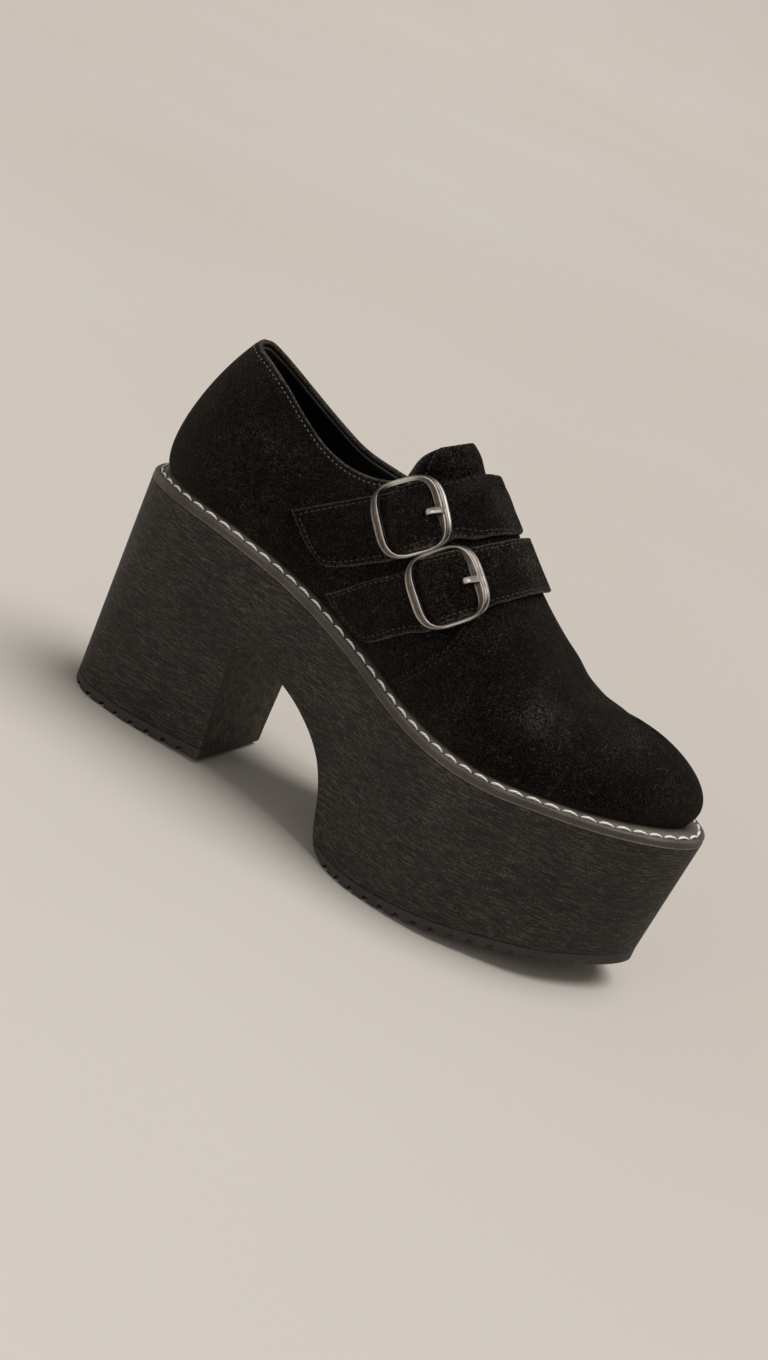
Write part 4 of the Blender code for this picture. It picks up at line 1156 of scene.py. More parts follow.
def make_shell(name, below, count, outside, inside, material, relief=None, rubbed_and_lit=0.5):
    """A closed shell of the upper between two heights off its outer face.

    outside and inside are functions of the distance below the edge, in millimetres, and
    the last argument says how far down the open edge is painted lighter, as rubbed nap and
    as a highlight along the edge.  With a relief, painted sheen patches are added as well.
    The last faces to go are those of the lip in front of the throat, where it is closed.
    """
    sides = [side_points(side, below, count) for side in (0, 1)]
    grid = loop_of(sides[0][0], sides[1][0])
    share = loop_of(sides[0][1], sides[1][1])
    rise = loop_of(sides[0][2], sides[1][2])
    high = loop_of(side_high[0], side_high[1])[:, None]
    normal = grid_normals(grid)
    from_edge = (edge_height(share) - rise) * high
    open_part = (1 - ease(THROAT - LIP_BLEND, THROAT, share))[..., None]
    extra = relief(share, rise, high) if relief else 0.0
    out = grid + normal * (outside(from_edge) + extra)[..., None]
    inn = grid + normal * inside(from_edge)[..., None]
    lip_out, lip_in = out[:, -1], inn[:, -1]
    upwards = unit(grid[:, -1] - grid[:, -2])
    thick = np.linalg.norm(lip_out - lip_in, axis=-1)[:, None]
    angle = np.linspace(0, math.pi, LIP_STEPS)[1:-1, None, None]
    middle, reach = (lip_out + lip_in) / 2, (lip_out - lip_in) / 2
    bulge = upwards * thick / 2 * open_part[:, -1]
    lip = (middle + reach * np.cos(angle) + bulge * np.sin(angle)).transpose(1, 0, 2)
    points = np.concatenate([out, lip, inn[:, ::-1]], 1)
    around, deep = points.shape[:2]
    quads = grid_faces(around, deep, wrap_rows=True, wrap_columns=True).reshape(around, deep, 4)
    column_share = loop_of(columns, columns)
    closed = ((column_share >= THROAT) & (np.roll(column_share, -1) >= THROAT))[:, None]
    row = np.arange(deep)[None, :]
    first_lip = out.shape[1] - 1
    in_lip = (row >= first_lip) & (row < first_lip + lip.shape[1] + 1)
    keep = ~(closed & in_lip)
    travelled = length_along(points, 1)
    u = np.broadcast_to(column_share[:, None] * SIDE_LONG, travelled.shape)
    uv = np.stack([u, travelled], -1)
    # the open edge is painted lighter, rubbed nap and a highlight; with a relief, painted sheen
    # patches are added
    worn_and_lit = bell(from_edge, rubbed_and_lit) * open_part[..., 0]
    if relief:
        worn_and_lit = worn_and_lit + patches(PAINTED_SHEEN_PATCHES, share, rise, high)
    lip_worn_and_lit = np.repeat(worn_and_lit[:, -1:], lip.shape[1], 1)
    wear = np.concatenate([worn_and_lit, lip_worn_and_lit, worn_and_lit[:, ::-1]], 1)
    return make_piece(
        name, points, quads[keep], material, None, uv=uv, sharp=48, wear=wear.ravel(),
    )


# %% The suede upper
def all_over(value):
    """The same height at every distance from the edge."""
    return lambda from_edge: np.full_like(from_edge, value)


WALL, FOLDED_IN = 2.1, 0.8  # thickness at the collar, and how much of it is the turned edge
LINING_START = (3.0, 3.4)  # below the edge


def facing(from_edge):
    """The suede is folded in at the collar, and is thicker down to where the lining starts."""
    return -WALL + FOLDED_IN * ease(*LINING_START, from_edge)


upper = make_shell("suede_upper", EDGE_ROWS, 52, all_over(0.0), facing, suede, relief=panel_relief)
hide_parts("upper")

# %% [markdown]
# ## The lining
#
# The lining is a thinner shell inside the suede.  Its top edge stops three millimetres below
# the collar, a little proud of the folded suede, and that edge is painted lighter: its raw
# cut edge and the thin line of light that it catches.

# %% Lining
LINING_ROWS = np.array([2.7, 3.0, 3.3, 3.8, 4.8, 6.4])  # below the edge
LINING_OUT, LINING_IN = -1.35, -2.55  # off the upper's outer face
lining = make_shell(
    "leather_lining", LINING_ROWS, 34, all_over(LINING_OUT), all_over(LINING_IN), lining_leather,
    rubbed_and_lit=3.0,
)
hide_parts("upper")

# %% [markdown]
# ## The insole
#
# A leather sock lies on the insole board, slightly dished by the foot bed.  It is a grid
# across the shoe between two plan lines, with a rounded edge.

# %% Insole sock
INSOLE_THICK, INSOLE_INSET, INSOLE_GAP, DISH = 3.0, 9.8, 0.2, 0.9
DISH_HEEL, DISH_TOE = (0, 30), (225, 255)  # where the foot bed's dish grows in and dies out
EDGE_START, EDGE_DROP = 0.93, 0.8  # the edge is rounded off from this share of the half width
EDGE_COLUMNS = np.array([0.97, 0.99, 1])
SOCK_LONG, SOCK_WIDE = 220, 25  # steps along it, and columns across its flat part
sock = side_lines(INSOLE_INSET, SOCK_LONG)
flat_part = np.linspace(-EDGE_START, EDGE_START, SOCK_WIDE)
across = np.concatenate([-EDGE_COLUMNS[::-1], flat_part, EDGE_COLUMNS])[:, None]
middle, half = (sock[0] + sock[1]) / 2, (sock[1] - sock[0]) / 2
x, y = middle[:, 0] + half[:, 0] * across, middle[:, 1] + half[:, 1] * across
past_start = np.clip((abs(across) - EDGE_START) / (1 - EDGE_START), 0, 1)
edge_drop = EDGE_DROP * (1 - np.sqrt(1 - past_start**2))
dish = -DISH * (1 - across**2) * ease(*DISH_HEEL, x) * (1 - ease(*DISH_TOE, x))
over_rows = np.stack([x, y, welt_top(x) + INSOLE_THICK + dish - edge_drop], -1)
under_rows = np.stack([x, y, welt_top(x) + INSOLE_GAP], -1)
insole_points = np.concatenate([over_rows, under_rows[::-1]])
insole_faces = grid_faces(*insole_points.shape[:2], wrap_rows=True)
insole = make_piece("insole_sock", insole_points, insole_faces, lining_leather, "insole")

# %% [markdown]
# ## The tongue
#
# The tongue is a soft padded suede sheet that starts inside the vamp and stands up behind
# the straps.  Along it run five measures, and across it the sides turn back and down.  Its
# edges are folded and sewn, which rounds them and draws a furrow beside them.

# %% Measures of the tongue, and folded edges
TONGUE = named("along height half back drop", (
    (152.0, 128.7, 13.0, 8.0, 12.0), (146.0, 134.0, 14.6, 10.0, 12.0),
    (140.4, 140.8, 16.8, 12.0, 11.8), (133.8, 146.7, 17.0, 18.5, 14.2),
    (126.9, 152.6, 15.4, 22.0, 15.6), (122.2, 157.8, 15.4, 17.4, 12.4),
    (118.0, 160.7, 13.6, 11.8, 8.8), (116.2, 161.3, 9.6, 6.6, 4.6),
))
TONGUE_THICK, TONGUE_POWER = 2.0, 2.2
TONGUE_WIDE, TONGUE_LONG = 31.0, 46.0
ROUND_EDGE = 0.95  # radius of a folded suede edge
CLOSE_ROWS, EVEN_FROM = np.array([0, 0.15, 0.4, 0.75, 1.1, 1.6, 2.0, 2.4, 2.9]), 3.6
SEAM_INSET = 2.0  # from a folded edge to its row of stitches
SEAM_DEEP, SEAM_WIDE = 0.25, 0.45  # depth and width of the furrow along it
RUB_AND_HIGHLIGHT_WIDE = 0.8  # how far in from a folded edge the nap is rubbed and painted lighter, as a highlight
SHEET_STEP = 0.8  # length of a face in the middle of the tongue or a strap
TONGUE_LIGHTER = 0.2  # how much lighter the whole tongue's suede is drawn


def edge_fall(distance, radius=ROUND_EDGE):
    """How far a rounded edge falls away: a quarter circle over its radius."""
    return radius * (1 - np.sqrt(1 - np.clip(1 - distance / radius, 0, 1) ** 2))


def from_edges(long, step):
    """Places along a length in millimetres, with close rows at both ends for the edge."""
    count = max(2, round((long - 2 * EVEN_FROM) / step))
    inside = np.linspace(EVEN_FROM, long - EVEN_FROM, count)
    return np.concatenate([CLOSE_ROWS, inside, long - CLOSE_ROWS[::-1]])


def thick_sheet(over, under):
    """A closed body from an upper and a lower grid of the same size, joined at the rim."""
    rows, columns = over.shape[:2]
    quads = grid_faces(rows, columns)
    shift = rows * columns
    index = np.arange(shift).reshape(rows, columns)
    rim = np.concatenate([index[0], index[1:, -1], index[-1, -2::-1], index[-2:0:-1, 0]])
    after = np.roll(rim, -1)
    sides = np.stack([rim, after, after + shift, rim + shift], 1)
    points = np.concatenate([over.reshape(-1, 3), under.reshape(-1, 3)])
    return points, np.concatenate([quads, quads + shift, sides])


def edge_rub_and_highlight(distance):
    """How much a folded edge is painted lighter, as rubbed nap and as the highlight it catches: 1
    at the edge, gone within two millimetres.
    """
    return bell(np.clip(distance, 0, None), RUB_AND_HIGHLIGHT_WIDE)


def stitch_furrow(distance):
    """A seam draws the suede in: a narrow bell curve at its distance from the edge."""
    return SEAM_DEEP * bell(distance - SEAM_INSET, SEAM_WIDE)


print("rows across the tongue:", len(from_edges(TONGUE_WIDE, SHEET_STEP)))


# %% Tongue
def tongue_at(along, across):
    """A point of the tongue's outer face; along from 0 in the vamp to 1, across -1 to 1."""
    row = np.arange(len(TONGUE["along"]))
    x, z, half, back_by, drop = (
        smooth(along * row[-1], row, column) for column in TONGUE.values()
    )
    bend = abs(across) ** TONGUE_POWER
    return np.stack(np.broadcast_arrays(x - back_by * bend, half * across, z - drop * bend), -1)


def tongue_off(along, across, height):
    """A point and the normal, `height` off the tongue's outer face."""
    one = tongue_at(along + SLOPE_STEP, across) - tongue_at(along - SLOPE_STEP, across)
    two = tongue_at(along, across + SLOPE_STEP) - tongue_at(along, across - SLOPE_STEP)
    normal = unit(np.cross(two, one))
    normal *= np.where(normal[..., :1] + normal[..., 2:] < 0, -1, 1)
    place = tongue_at(along, across) + normal * np.asarray(height)[..., None]
    return np.concatenate([place, normal], -1)


along_mm = from_edges(TONGUE_LONG, SHEET_STEP)[:, None]
across_mm = from_edges(TONGUE_WIDE, SHEET_STEP)[None, :]
to_edge = np.minimum(TONGUE_LONG - along_mm, np.minimum(across_mm, TONGUE_WIDE - across_mm))
along, across = along_mm / TONGUE_LONG, across_mm / TONGUE_WIDE * 2 - 1
fall = edge_fall(np.clip(to_edge, 0, None))
over = tongue_off(along, across, -fall - stitch_furrow(to_edge))[..., :3]
under = tongue_off(along, across, -TONGUE_THICK + fall)[..., :3]
tongue_points, tongue_faces = thick_sheet(over, under)
# folded edges painted lighter, as rubbed nap and a highlight, and the whole tongue drawn a little
# lighter
tongue = make_piece(
    "suede_tongue", tongue_points, tongue_faces, suede, "tongue", sharp=60,
    wear=np.tile((edge_rub_and_highlight(to_edge) + TONGUE_LIGHTER).ravel(), 2),
)

# %% [markdown]
# ## The straps
#
# Each strap is laid on the upper: a table gives its two edges as places on the outer face.
# At the buckle it climbs over the centre bar and narrows, to pass between the thin bars.
# Its edges are folded round, and a seam runs all round it two millimetres in.  The folded
# edges are painted lighter, as rubbed nap and as a highlight.  Where it goes over the ridge
# of the instep, the suede is painted lighter, as a sheen highlight.

# %% Measures of straps and buckles
STRAP_COLUMNS = "upper_round upper_wrap lower_round lower_wrap"
STRAPS = {
    "upper": named(STRAP_COLUMNS, (
        (0.2845, 0.376, 0.348, 0.186), (0.339, 0.632, 0.407, 0.345),
        (0.394, 0.830, 0.447, 0.415), (0.431, 0.895, 0.476, 0.468),
        (0.456, 0.930, 0.503, 0.525), (0.480, 0.960, 0.534, 0.690),
        (0.497, 1.020, 0.557, 1.010), (0.484, 1.070, 0.534, 1.310),
        (0.458, 1.120, 0.503, 1.475), (0.428, 1.170, 0.474, 1.545),
        (0.388, 1.280, 0.440, 1.620),
    )),
    "lower": named(STRAP_COLUMNS, (
        (0.377, 0.092, 0.4446, 0.019), (0.427, 0.283, 0.490, 0.110),
        (0.477, 0.373, 0.5185, 0.191), (0.513, 0.483, 0.543, 0.293),
        (0.541, 0.689, 0.572, 0.475), (0.556, 0.855, 0.604, 0.692),
        (0.562, 1.050, 0.621, 1.040), (0.552, 1.260, 0.606, 1.310),
        (0.530, 1.440, 0.580, 1.500), (0.492, 1.600, 0.548, 1.660),
    )),
}
BUCKLES = {
    "upper": {
        "round": 0.450, "wrap": 0.652, "along": (0.759, 0.284, 0.586),
        "shift": (-1.11, 0.1), "turn": 0.072, "tilt": (-0.045, 0.083), "hole": 5.6,
    },
    "lower": {
        "round": 0.535, "wrap": 0.425, "along": (0.713, 0.400, 0.577),
        "shift": (-0.62, -0.42), "turn": 0.110, "tilt": (-0.024, -0.065), "hole": 6.3,
    },
}  # round, wrap: a buckle's middle on the upper; along: the way its strap runs; shift, turn and
# tilt: how its frame has slipped on the strap; hole: where its prong comes out
TIP_ROUND = {"upper": 0.03, "lower": 0.055}  # how far the tip's lower corner is cut back
TIP_FROM = 0.45  # how far across the strap that corner starts
FRAME_LONG, FRAME_WIDE = 29.3, 30.5
NEAR_BAR, FAR_BAR, END_BAR = 3.7, 4.9, 1.85  # how wide each bar is, seen from above
STRAP_THICK, STRAP_WIDE = 2.1, 25.0
STRAP_STEP = 0.85  # width of a face across a strap
STRAP_SEAT = 0.45  # the strap's underside off the upper
STRAP_RISE, RISE_FLAT, RISE_END = 2.2, 6.2, 10.5  # climb over the bar, and how far out that goes
STRAP_ROOM, DRAW_IN = 0.45, 6.5  # gap to the thin bars, and the length over which it narrows
BESIDE, BESIDE_FADE = 7.0, 0.4  # the climb fades sooner towards the strap's edges
OVER_RIDGE = {
    "upper": named("across lift", (
        (0, 0.1), (0.05, -0.2), (0.1, -0.6), (0.2, -1.2), (0.35, -1.6), (0.5, -1.5),
        (0.7, -1.1), (1, -0.7),
    )),
    "lower": named("across lift", ((0, 1.1), (0.5, 1.1), (1, 1.1))),
}  # how far a strap stands off the ridge of the instep, from its upper to its lower edge
RIDGE_SPAN = (0.05, 0.3)  # in wrap either side of the ridge, where that fades out
RIDGE_SIDE = (0.92, 1.08)  # in wrap, where the buckle's side of the shoe ends
RIDGE_PAINTED_SHEEN = {"upper": 0.16, "lower": 0.42}  # painted sheen highlight where each strap goes over the ridge
RIDGE_SHEEN_AT, RIDGE_SHEEN_WIDE = 0.92, 0.13
print("the strap narrows to", FRAME_WIDE - 2 * (END_BAR + STRAP_ROOM), "mm inside its frame")


# %% Where a strap lies
def buckle_axes(which):
    """The buckle's middle on the upper, and its directions along, across and away."""
    place = BUCKLES[which]
    share, wrap = np.array(place["round"]), np.array(place["wrap"])
    centre = on_upper(share, wrap)
    away = off_upper(share, wrap, 1.0) - centre
    ahead = np.array(place["along"])
    ahead = unit(ahead - away * (ahead @ away))
    return centre, ahead, np.cross(away, ahead), away


def strap_place(which, along, across):
    """Share and wrap on the upper of a place on a strap, both counted from 0 to 1."""
    table = STRAPS[which]
    row = np.linspace(0, 1, len(table["upper_round"]))
    high_share, high_wrap, low_share, low_wrap = (
        smooth(along, row, column) for column in table.values()
    )
    share = high_share * (1 - across) + low_share * across
    return share, high_wrap * (1 - across) + low_wrap * across


def on_buckle_side(wrap):
    """1 on the outer side of the shoe, falling to 0 as the strap goes over the ridge."""
    return 1 - ease(*RIDGE_SIDE, wrap)


def narrowed(which, along, across):
    """Across, changed near the buckle so that the strap fills the frame from bar to bar."""
    centre, ahead, sideways, _ = buckle_axes(which)
    place = BUCKLES[which]
    room = FRAME_WIDE / 2 - END_BAR - STRAP_ROOM
    reach, share = [], []
    for edge, goal in ((0.0, room), (1.0, -room)):
        round_by, wrap = strap_place(which, along, np.full_like(along, edge))
        flat = on_upper(round_by, wrap) - centre
        ahead_by, aside_by = flat @ ahead, flat @ sideways
        wanted = goal + place["shift"][1] + place["turn"] * ahead_by
        near = 1 - ease(RISE_END - 2, RISE_END + DRAW_IN, abs(ahead_by - place["shift"][0]))
        near = near * on_buckle_side(wrap)
        reach.append(aside_by)
        share.append((wanted - aside_by) * near)
    wide = reach[1] - reach[0]
    return across * (1 + share[1] / wide) + share[0] / wide * (1 - across)


def strap_point(which, along, across, height):
    """A point and normal of the strap, `height` over its underside."""
    centre, ahead, sideways, _ = buckle_axes(which)
    along, across = np.broadcast_arrays(np.asarray(along, float), np.asarray(across, float))
    share, wrap = strap_place(which, along, narrowed(which, along, across))
    flat = on_upper(share, wrap) - centre
    distance = abs(flat @ ahead) + BESIDE_FADE * np.clip(abs(flat @ sideways) - BESIDE, 0, None)
    over_bar = (1 - ease(RISE_FLAT, RISE_END, distance)) * on_buckle_side(wrap)
    ridge = smooth(across, OVER_RIDGE[which]["across"], OVER_RIDGE[which]["lift"])
    over_ridge = 1 - ease(*RIDGE_SPAN, abs(wrap - 1))
    rise = STRAP_SEAT + STRAP_RISE * over_bar + ridge * over_ridge
    return off_upper(share, wrap, rise + height, with_normal=True)


def tip_start(which, across):
    """How far along the strap's tip begins: a quarter circle cuts back its lower corner."""
    lower = np.clip((across - TIP_FROM) / (1 - TIP_FROM), 0, 0.999)
    return TIP_ROUND[which] * (1 - np.sqrt(1 - lower**2))


def measured(which):
    """Length of the strap, and how far along it is the place (mm from the tip, across)."""
    fine = np.linspace(0, 1, 600)
    travelled = length_along(strap_point(which, fine, 0.5, 1.0)[:, :3], 0)

    def along_at(mm, across):
        """The tip starts later at its lower corner, and the rest is stretched evenly."""
        start = tip_start(which, across)
        return start + (1 - start) * np.interp(mm, travelled, fine)

    return travelled[-1], along_at


for which in STRAPS:
    print("strap", which, "is", measured(which)[0].round(1), "mm long")

# %% [markdown]
# ### A hole for the prong
#
# The hole is an oval peg taken out of the strap with a Boolean, which is then applied, so
# that no live modifier is left on the piece.

# %% Straps
HOLE_LONG, HOLE_WIDE, HOLE_DEEP, HOLE_STEPS = 2.2, 1.5, 14.0, 32


def placed(which, local):
    """Points given along, across and away from the buckle's middle, put on the shoe."""
    centre, ahead, sideways, away = buckle_axes(which)
    local = np.asarray(local, float)
    return centre + local[..., :1] * ahead + local[..., 1:2] * sideways + local[..., 2:3] * away


def cut_hole(strap, which):
    """Takes an oval peg out of the strap, with the exact solver, and removes the peg."""
    turn = np.linspace(0, 2 * math.pi, HOLE_STEPS, endpoint=False)
    ahead = BUCKLES[which]["hole"] + HOLE_LONG * np.cos(turn)
    ring = np.stack([ahead, HOLE_WIDE * np.sin(turn), 0 * turn], 1)
    local = np.stack([ring, ring + (0, 0, HOLE_DEEP)])
    quads = grid_faces(2, HOLE_STEPS, wrap_columns=True)
    ends = [list(range(HOLE_STEPS)), list(range(2 * HOLE_STEPS - 1, HOLE_STEPS - 1, -1))]
    peg = make_piece("peg", placed(which, local), quads, suede, None, caps=ends)
    change = strap.modifiers.new("hole", "BOOLEAN")
    change.object, change.solver = peg, "EXACT"
    bpy.context.view_layer.update()
    shape = strap.evaluated_get(bpy.context.evaluated_depsgraph_get())
    strap.data = bpy.data.meshes.new_from_object(shape)
    strap.modifiers.clear()
    bpy.data.objects.remove(peg)


def make_strap(which):
    """A sheet with a folded edge, laid out in millimetres along and across the strap."""
    long, along_at = measured(which)
    along_mm = from_edges(long, SHEET_STEP)[:, None]
    across_mm = from_edges(STRAP_WIDE, STRAP_STEP)[None, :]
    across = across_mm / STRAP_WIDE
    along = along_at(along_mm, across)
    to_edge = np.minimum(
        np.minimum(along_mm, long - along_mm), np.minimum(across_mm, STRAP_WIDE - across_mm)
    )
    fall = edge_fall(np.clip(to_edge, 0, None))
    top = STRAP_THICK - fall - stitch_furrow(to_edge)
    over = strap_point(which, along, across, top)[..., :3]
    under = strap_point(which, along, across, fall)[..., :3]
    points, faces = thick_sheet(over, under)
    wrap = strap_place(which, along, across)[1]
    # painted lighter: folded edges as rubbed nap and a highlight, and a sheen highlight over the
    # ridge
    wear = edge_rub_and_highlight(to_edge) + RIDGE_PAINTED_SHEEN[which] * bell(wrap - RIDGE_SHEEN_AT, RIDGE_SHEEN_WIDE)
    strap = make_piece(
        "suede_strap_" + which, points, faces, suede, "strap_" + which, sharp=60,
        wear=np.concatenate([wear, wear * 0]).ravel(),
    )
    cut_hole(strap, which)


for which in STRAPS:
    make_strap(which)

# %% [markdown]
# ## The buckles
#
# A buckle frame is a section carried round a rounded square.  Its outer half is domed and
# its inner half is a flat facet that leans in to the strap, with a crease between them.
# The side bars are twice as wide as the end bars, because the plan of the inside is a
# smaller rounded square than the outside.

# %% Measures of frame, bar and prong
OUTER_CORNER, INNER_CORNER = 3.17, 4.3  # the power of each plan line's rounded square
FRAME_LIFT, FRAME_BEND = 3.7, 0.006  # off the upper, and bent down ahead and behind to fit it
# last column: rims and crest lighter, rubbed and painted highlights; darker in the groove's wash
# and on the inner facet, painted shade
OUTER_SECTION = named("across height wear", (
    (0.30, 0.0, 0), (0.10, 0.10, 0), (0.0, 0.42, 0.2), (0.0, 0.85, 0.8), (0.05, 1.25, 1.0),
    (0.13, 1.58, 0.8), (0.26, 1.86, 0.25), (0.40, 2.02, 0.0), (0.46, 1.93, -0.4),
    (0.52, 2.06, 0.0), (0.70, 2.22, 0.1), (0.88, 2.31, 0.2), (1.0, 2.34, 1.0),
))  # from the outer foot over a fine groove to the crest
INNER_SECTION = named("across height wear", (
    (0.08, 2.26, 0.7), (0.22, 2.04, 0.0), (0.45, 1.62, -0.1), (0.68, 1.20, -0.1),
    (0.84, 0.94, 0.1), (0.94, 0.78, 1.0), (1.0, 0.56, 1.0), (1.0, 0.25, 0.4),
    (0.90, 0.05, 0), (0.7, 0.0, 0),
))  # from the crest down to the inner foot
CREST_NEAR, CREST_END, CREST_FAR = 0.84, 0.5, 0.47  # where across each bar its crest runs
LOW_END = 0.66  # the thin end bars are lower than the side bars
SIDE_START, SIDE_FULL = 0.2, 0.95  # share of the half length from an end bar to a side bar
END_BAR_HIGHLIGHT = 0.75  # the thin end bars are painted lighter all over, as a highlight
RING_STEPS, BAR_STEPS, PRONG_STEPS = 168, 40, 44
BAR = named("share height", (
    (-1.0, 4.4), (-1.0, 2.4), (-0.985, 1.5), (-0.94, 1.05), (-0.5, 1.05),
    (0.5, 1.05), (0.94, 1.05), (0.985, 1.5), (1.0, 2.4), (1.0, 4.4),
))  # the centre bar, from inside one end bar under the strap to inside the other
BAR_THICK, BAR_ALONG, BAR_WEAR, BAR_ROUND = 1.6, 0.5, 0.4, 12  # BAR_ROUND: points round it
PRONG = named("along height", (
    (1.6, 1.5), (3.6, 1.5), (4.6, 2.4), (5.2, 4.0), (5.9, 5.3), (7.4, 6.0), (9.6, 5.9),
    (11.9, 5.6),
))  # from the bar up through the hole and over to the far bar
PRONG_WIDE, PRONG_THICK, PRONG_TURN, PRONG_SQUARE = 2.6, 1.7, -0.08, 3.4
PRONG_ROUND = 16  # points round the prong
PRONG_PIVOT = 7.0  # the place about which it is turned a little aside
PRONG_SHIFT = 6, 12  # between these it is shortened or lengthened to suit its hole
PRONG_CAP = 0.15  # its last step, as a share of the one before it
PRONG_WEAR, PRONG_TOP_HIGHLIGHT = 0.45, 0.30  # the prong is rubbed lighter, and its top has a painted highlight
PRONG_TAPER = (
    (0, 0), (2, 0.6), (8, 0.7), (14, 1), (41, 1), (42, 0.92), (43, 0),
)  # at which step of its path how much of its full section it has
USUAL_HOLE = 5.6  # the prong's table is drawn for a hole this far ahead of the buckle's middle
print("a frame is", FRAME_LONG, "by", FRAME_WIDE, "mm and its bar", BAR_THICK, "mm thick")


# %% Sections carried along a path
def rounded_square(turn, long, wide, corner):
    """A superellipse: cos and sin raised to a power, which squares the corners."""
    power = 2 / corner
    x = long / 2 * np.sign(np.cos(turn)) * abs(np.cos(turn)) ** power
    y = wide / 2 * np.sign(np.sin(turn)) * abs(np.sin(turn)) ** power
    return np.stack([x, y], -1)


def slipped(which, flat, height):
    """A place on the frame, turned and tilted with it, as along, across and away."""
    place = BUCKLES[which]
    x, y, by = flat[..., 0], flat[..., 1], place["turn"]
    lift = height + place["tilt"][0] * x + place["tilt"][1] * y - FRAME_BEND * x**2
    along = x * math.cos(by) - y * math.sin(by) + place["shift"][0]
    across = x * math.sin(by) + y * math.cos(by) + place["shift"][1]
    return placed(which, np.stack([along, across, lift], -1))


def even_turns(count):
    """Angles that step evenly along the rounded square, not evenly round its middle."""
    fine = np.linspace(0, 2 * math.pi, 20001)
    travelled = length_along(rounded_square(fine, FRAME_LONG, FRAME_WIDE, OUTER_CORNER), 0)
    return np.interp(np.linspace(0, travelled[-1], count, endpoint=False), travelled, fine)


def carried(path, section, flat):
    """A closed section carried along a path: across it by `flat`, and square to both.

    path is n points, section is m pairs of sideways and upwards, scaled to 0 at both ends.
    """
    above_it = unit(np.cross(unit(np.gradient(path, axis=0)), flat))
    side, rise = section[..., 0], section[..., 1]
    points = path[:, None] + flat * side[..., None] + above_it[:, None] * rise[..., None]
    return points, grid_faces(len(path), section.shape[-2], wrap_columns=True)


def round_section(count, wide, thick, corner, taper):
    """A rounded square for each place of a path, shrunk by taper where it ends."""
    turn = np.linspace(0, 2 * math.pi, count, endpoint=False)
    return rounded_square(turn, wide, thick, corner)[None] * np.asarray(taper)[:, None, None]


def path_of(table, count):
    """A smooth curve through a table, column by column, at even steps of its rows."""
    columns = list(table.values())
    row = np.arange(len(columns[0]))
    at = np.linspace(0, row[-1], count)
    return [smooth(at, row, column) for column in columns]


def joined(bodies):
    """Several grids as one list of points and faces."""
    points, faces, start = [], [], 0
    for body_points, body_faces in bodies:
        points.append(body_points.reshape(-1, 3))
        faces.append(body_faces + start)
        start += len(points[-1])
    return np.concatenate(points), np.concatenate(faces)


round_the_ring = np.diff(even_turns(8))
print("eighths of a frame, in degrees:", np.degrees(round_the_ring).round(1))


# %% Frames
def frame_ring(which, turn):
    """The frame's surface: the plan goes from outer to inner line, and the section over it."""
    inside = FRAME_LONG - NEAR_BAR - FAR_BAR, FRAME_WIDE - 2 * END_BAR
    inner = rounded_square(turn, *inside, INNER_CORNER) + ((NEAR_BAR - FAR_BAR) / 2, 0)
    outer = rounded_square(turn, FRAME_LONG, FRAME_WIDE, OUTER_CORNER)
    side = outer[:, 0] / FRAME_LONG * 2
    far, near = (ease(SIDE_START, SIDE_FULL, end) for end in (side, -side))
    crest = CREST_END + (CREST_FAR - CREST_END) * far + (CREST_NEAR - CREST_END) * near
    low = LOW_END + (1 - LOW_END) * (far + near)
    to_crest, past_crest = (part["across"][:, None] for part in (OUTER_SECTION, INNER_SECTION))
    share = np.concatenate([to_crest * crest, crest + past_crest * (1 - crest)])[..., None]
    height, wear = (
        np.concatenate([OUTER_SECTION[column], INNER_SECTION[column]])[:, None]
        for column in ("height", "wear")
    )
    flat = outer * (1 - share) + inner * share
    # painted highlight over the thin end bars
    wear = np.maximum(wear, END_BAR_HIGHLIGHT * (1 - far - near))
    return slipped(which, flat, FRAME_LIFT + height * low), wear


def make_frame(which):
    """The ring and its centre bar, whose ends go up into the end bars.

    The bar stays level where the frame is tilted, because it lies on the upper.
    """
    ring, wear = frame_ring(which, even_turns(RING_STEPS))
    ring_faces = grid_faces(*ring.shape[:2], wrap_rows=True, wrap_columns=True)
    side, rise = path_of(BAR, BAR_STEPS)
    reach = (FRAME_WIDE - END_BAR) / 2
    level = rise - BUCKLES[which]["tilt"][1] * reach * side * (1 - ease(0.95, 1, abs(side)))
    path = slipped(which, np.stack([BAR_ALONG + 0 * side, reach * side], 1), level)
    to_end = np.minimum(np.arange(BAR_STEPS), np.arange(BAR_STEPS)[::-1])
    taper = np.sqrt(np.clip(to_end / 2.0, 0, 1))
    section = round_section(BAR_ROUND, BAR_THICK, BAR_THICK, 2, taper)
    bar, bar_faces = carried(path, section, buckle_axes(which)[1])
    points, faces = joined([(ring, ring_faces), (bar, bar_faces)])
    bar_count = len(points) - wear.size
    uv = np.stack([length_along(ring, 1), length_along(ring, 0)], -1).reshape(-1, 2)
    frame_piece = make_piece(
        "frame_" + which, points, faces, nickel, "buckle_frame_" + which, sharp=46,
        uv=np.concatenate([uv, np.zeros((bar_count, 2))]),
        wear=np.concatenate([wear.ravel(), np.full(bar_count, BAR_WEAR)]),
    )


ring_shape = frame_ring("upper", even_turns(RING_STEPS))[1].shape
print("a frame's ring has", ring_shape[1], "sections of", ring_shape[0], "points")


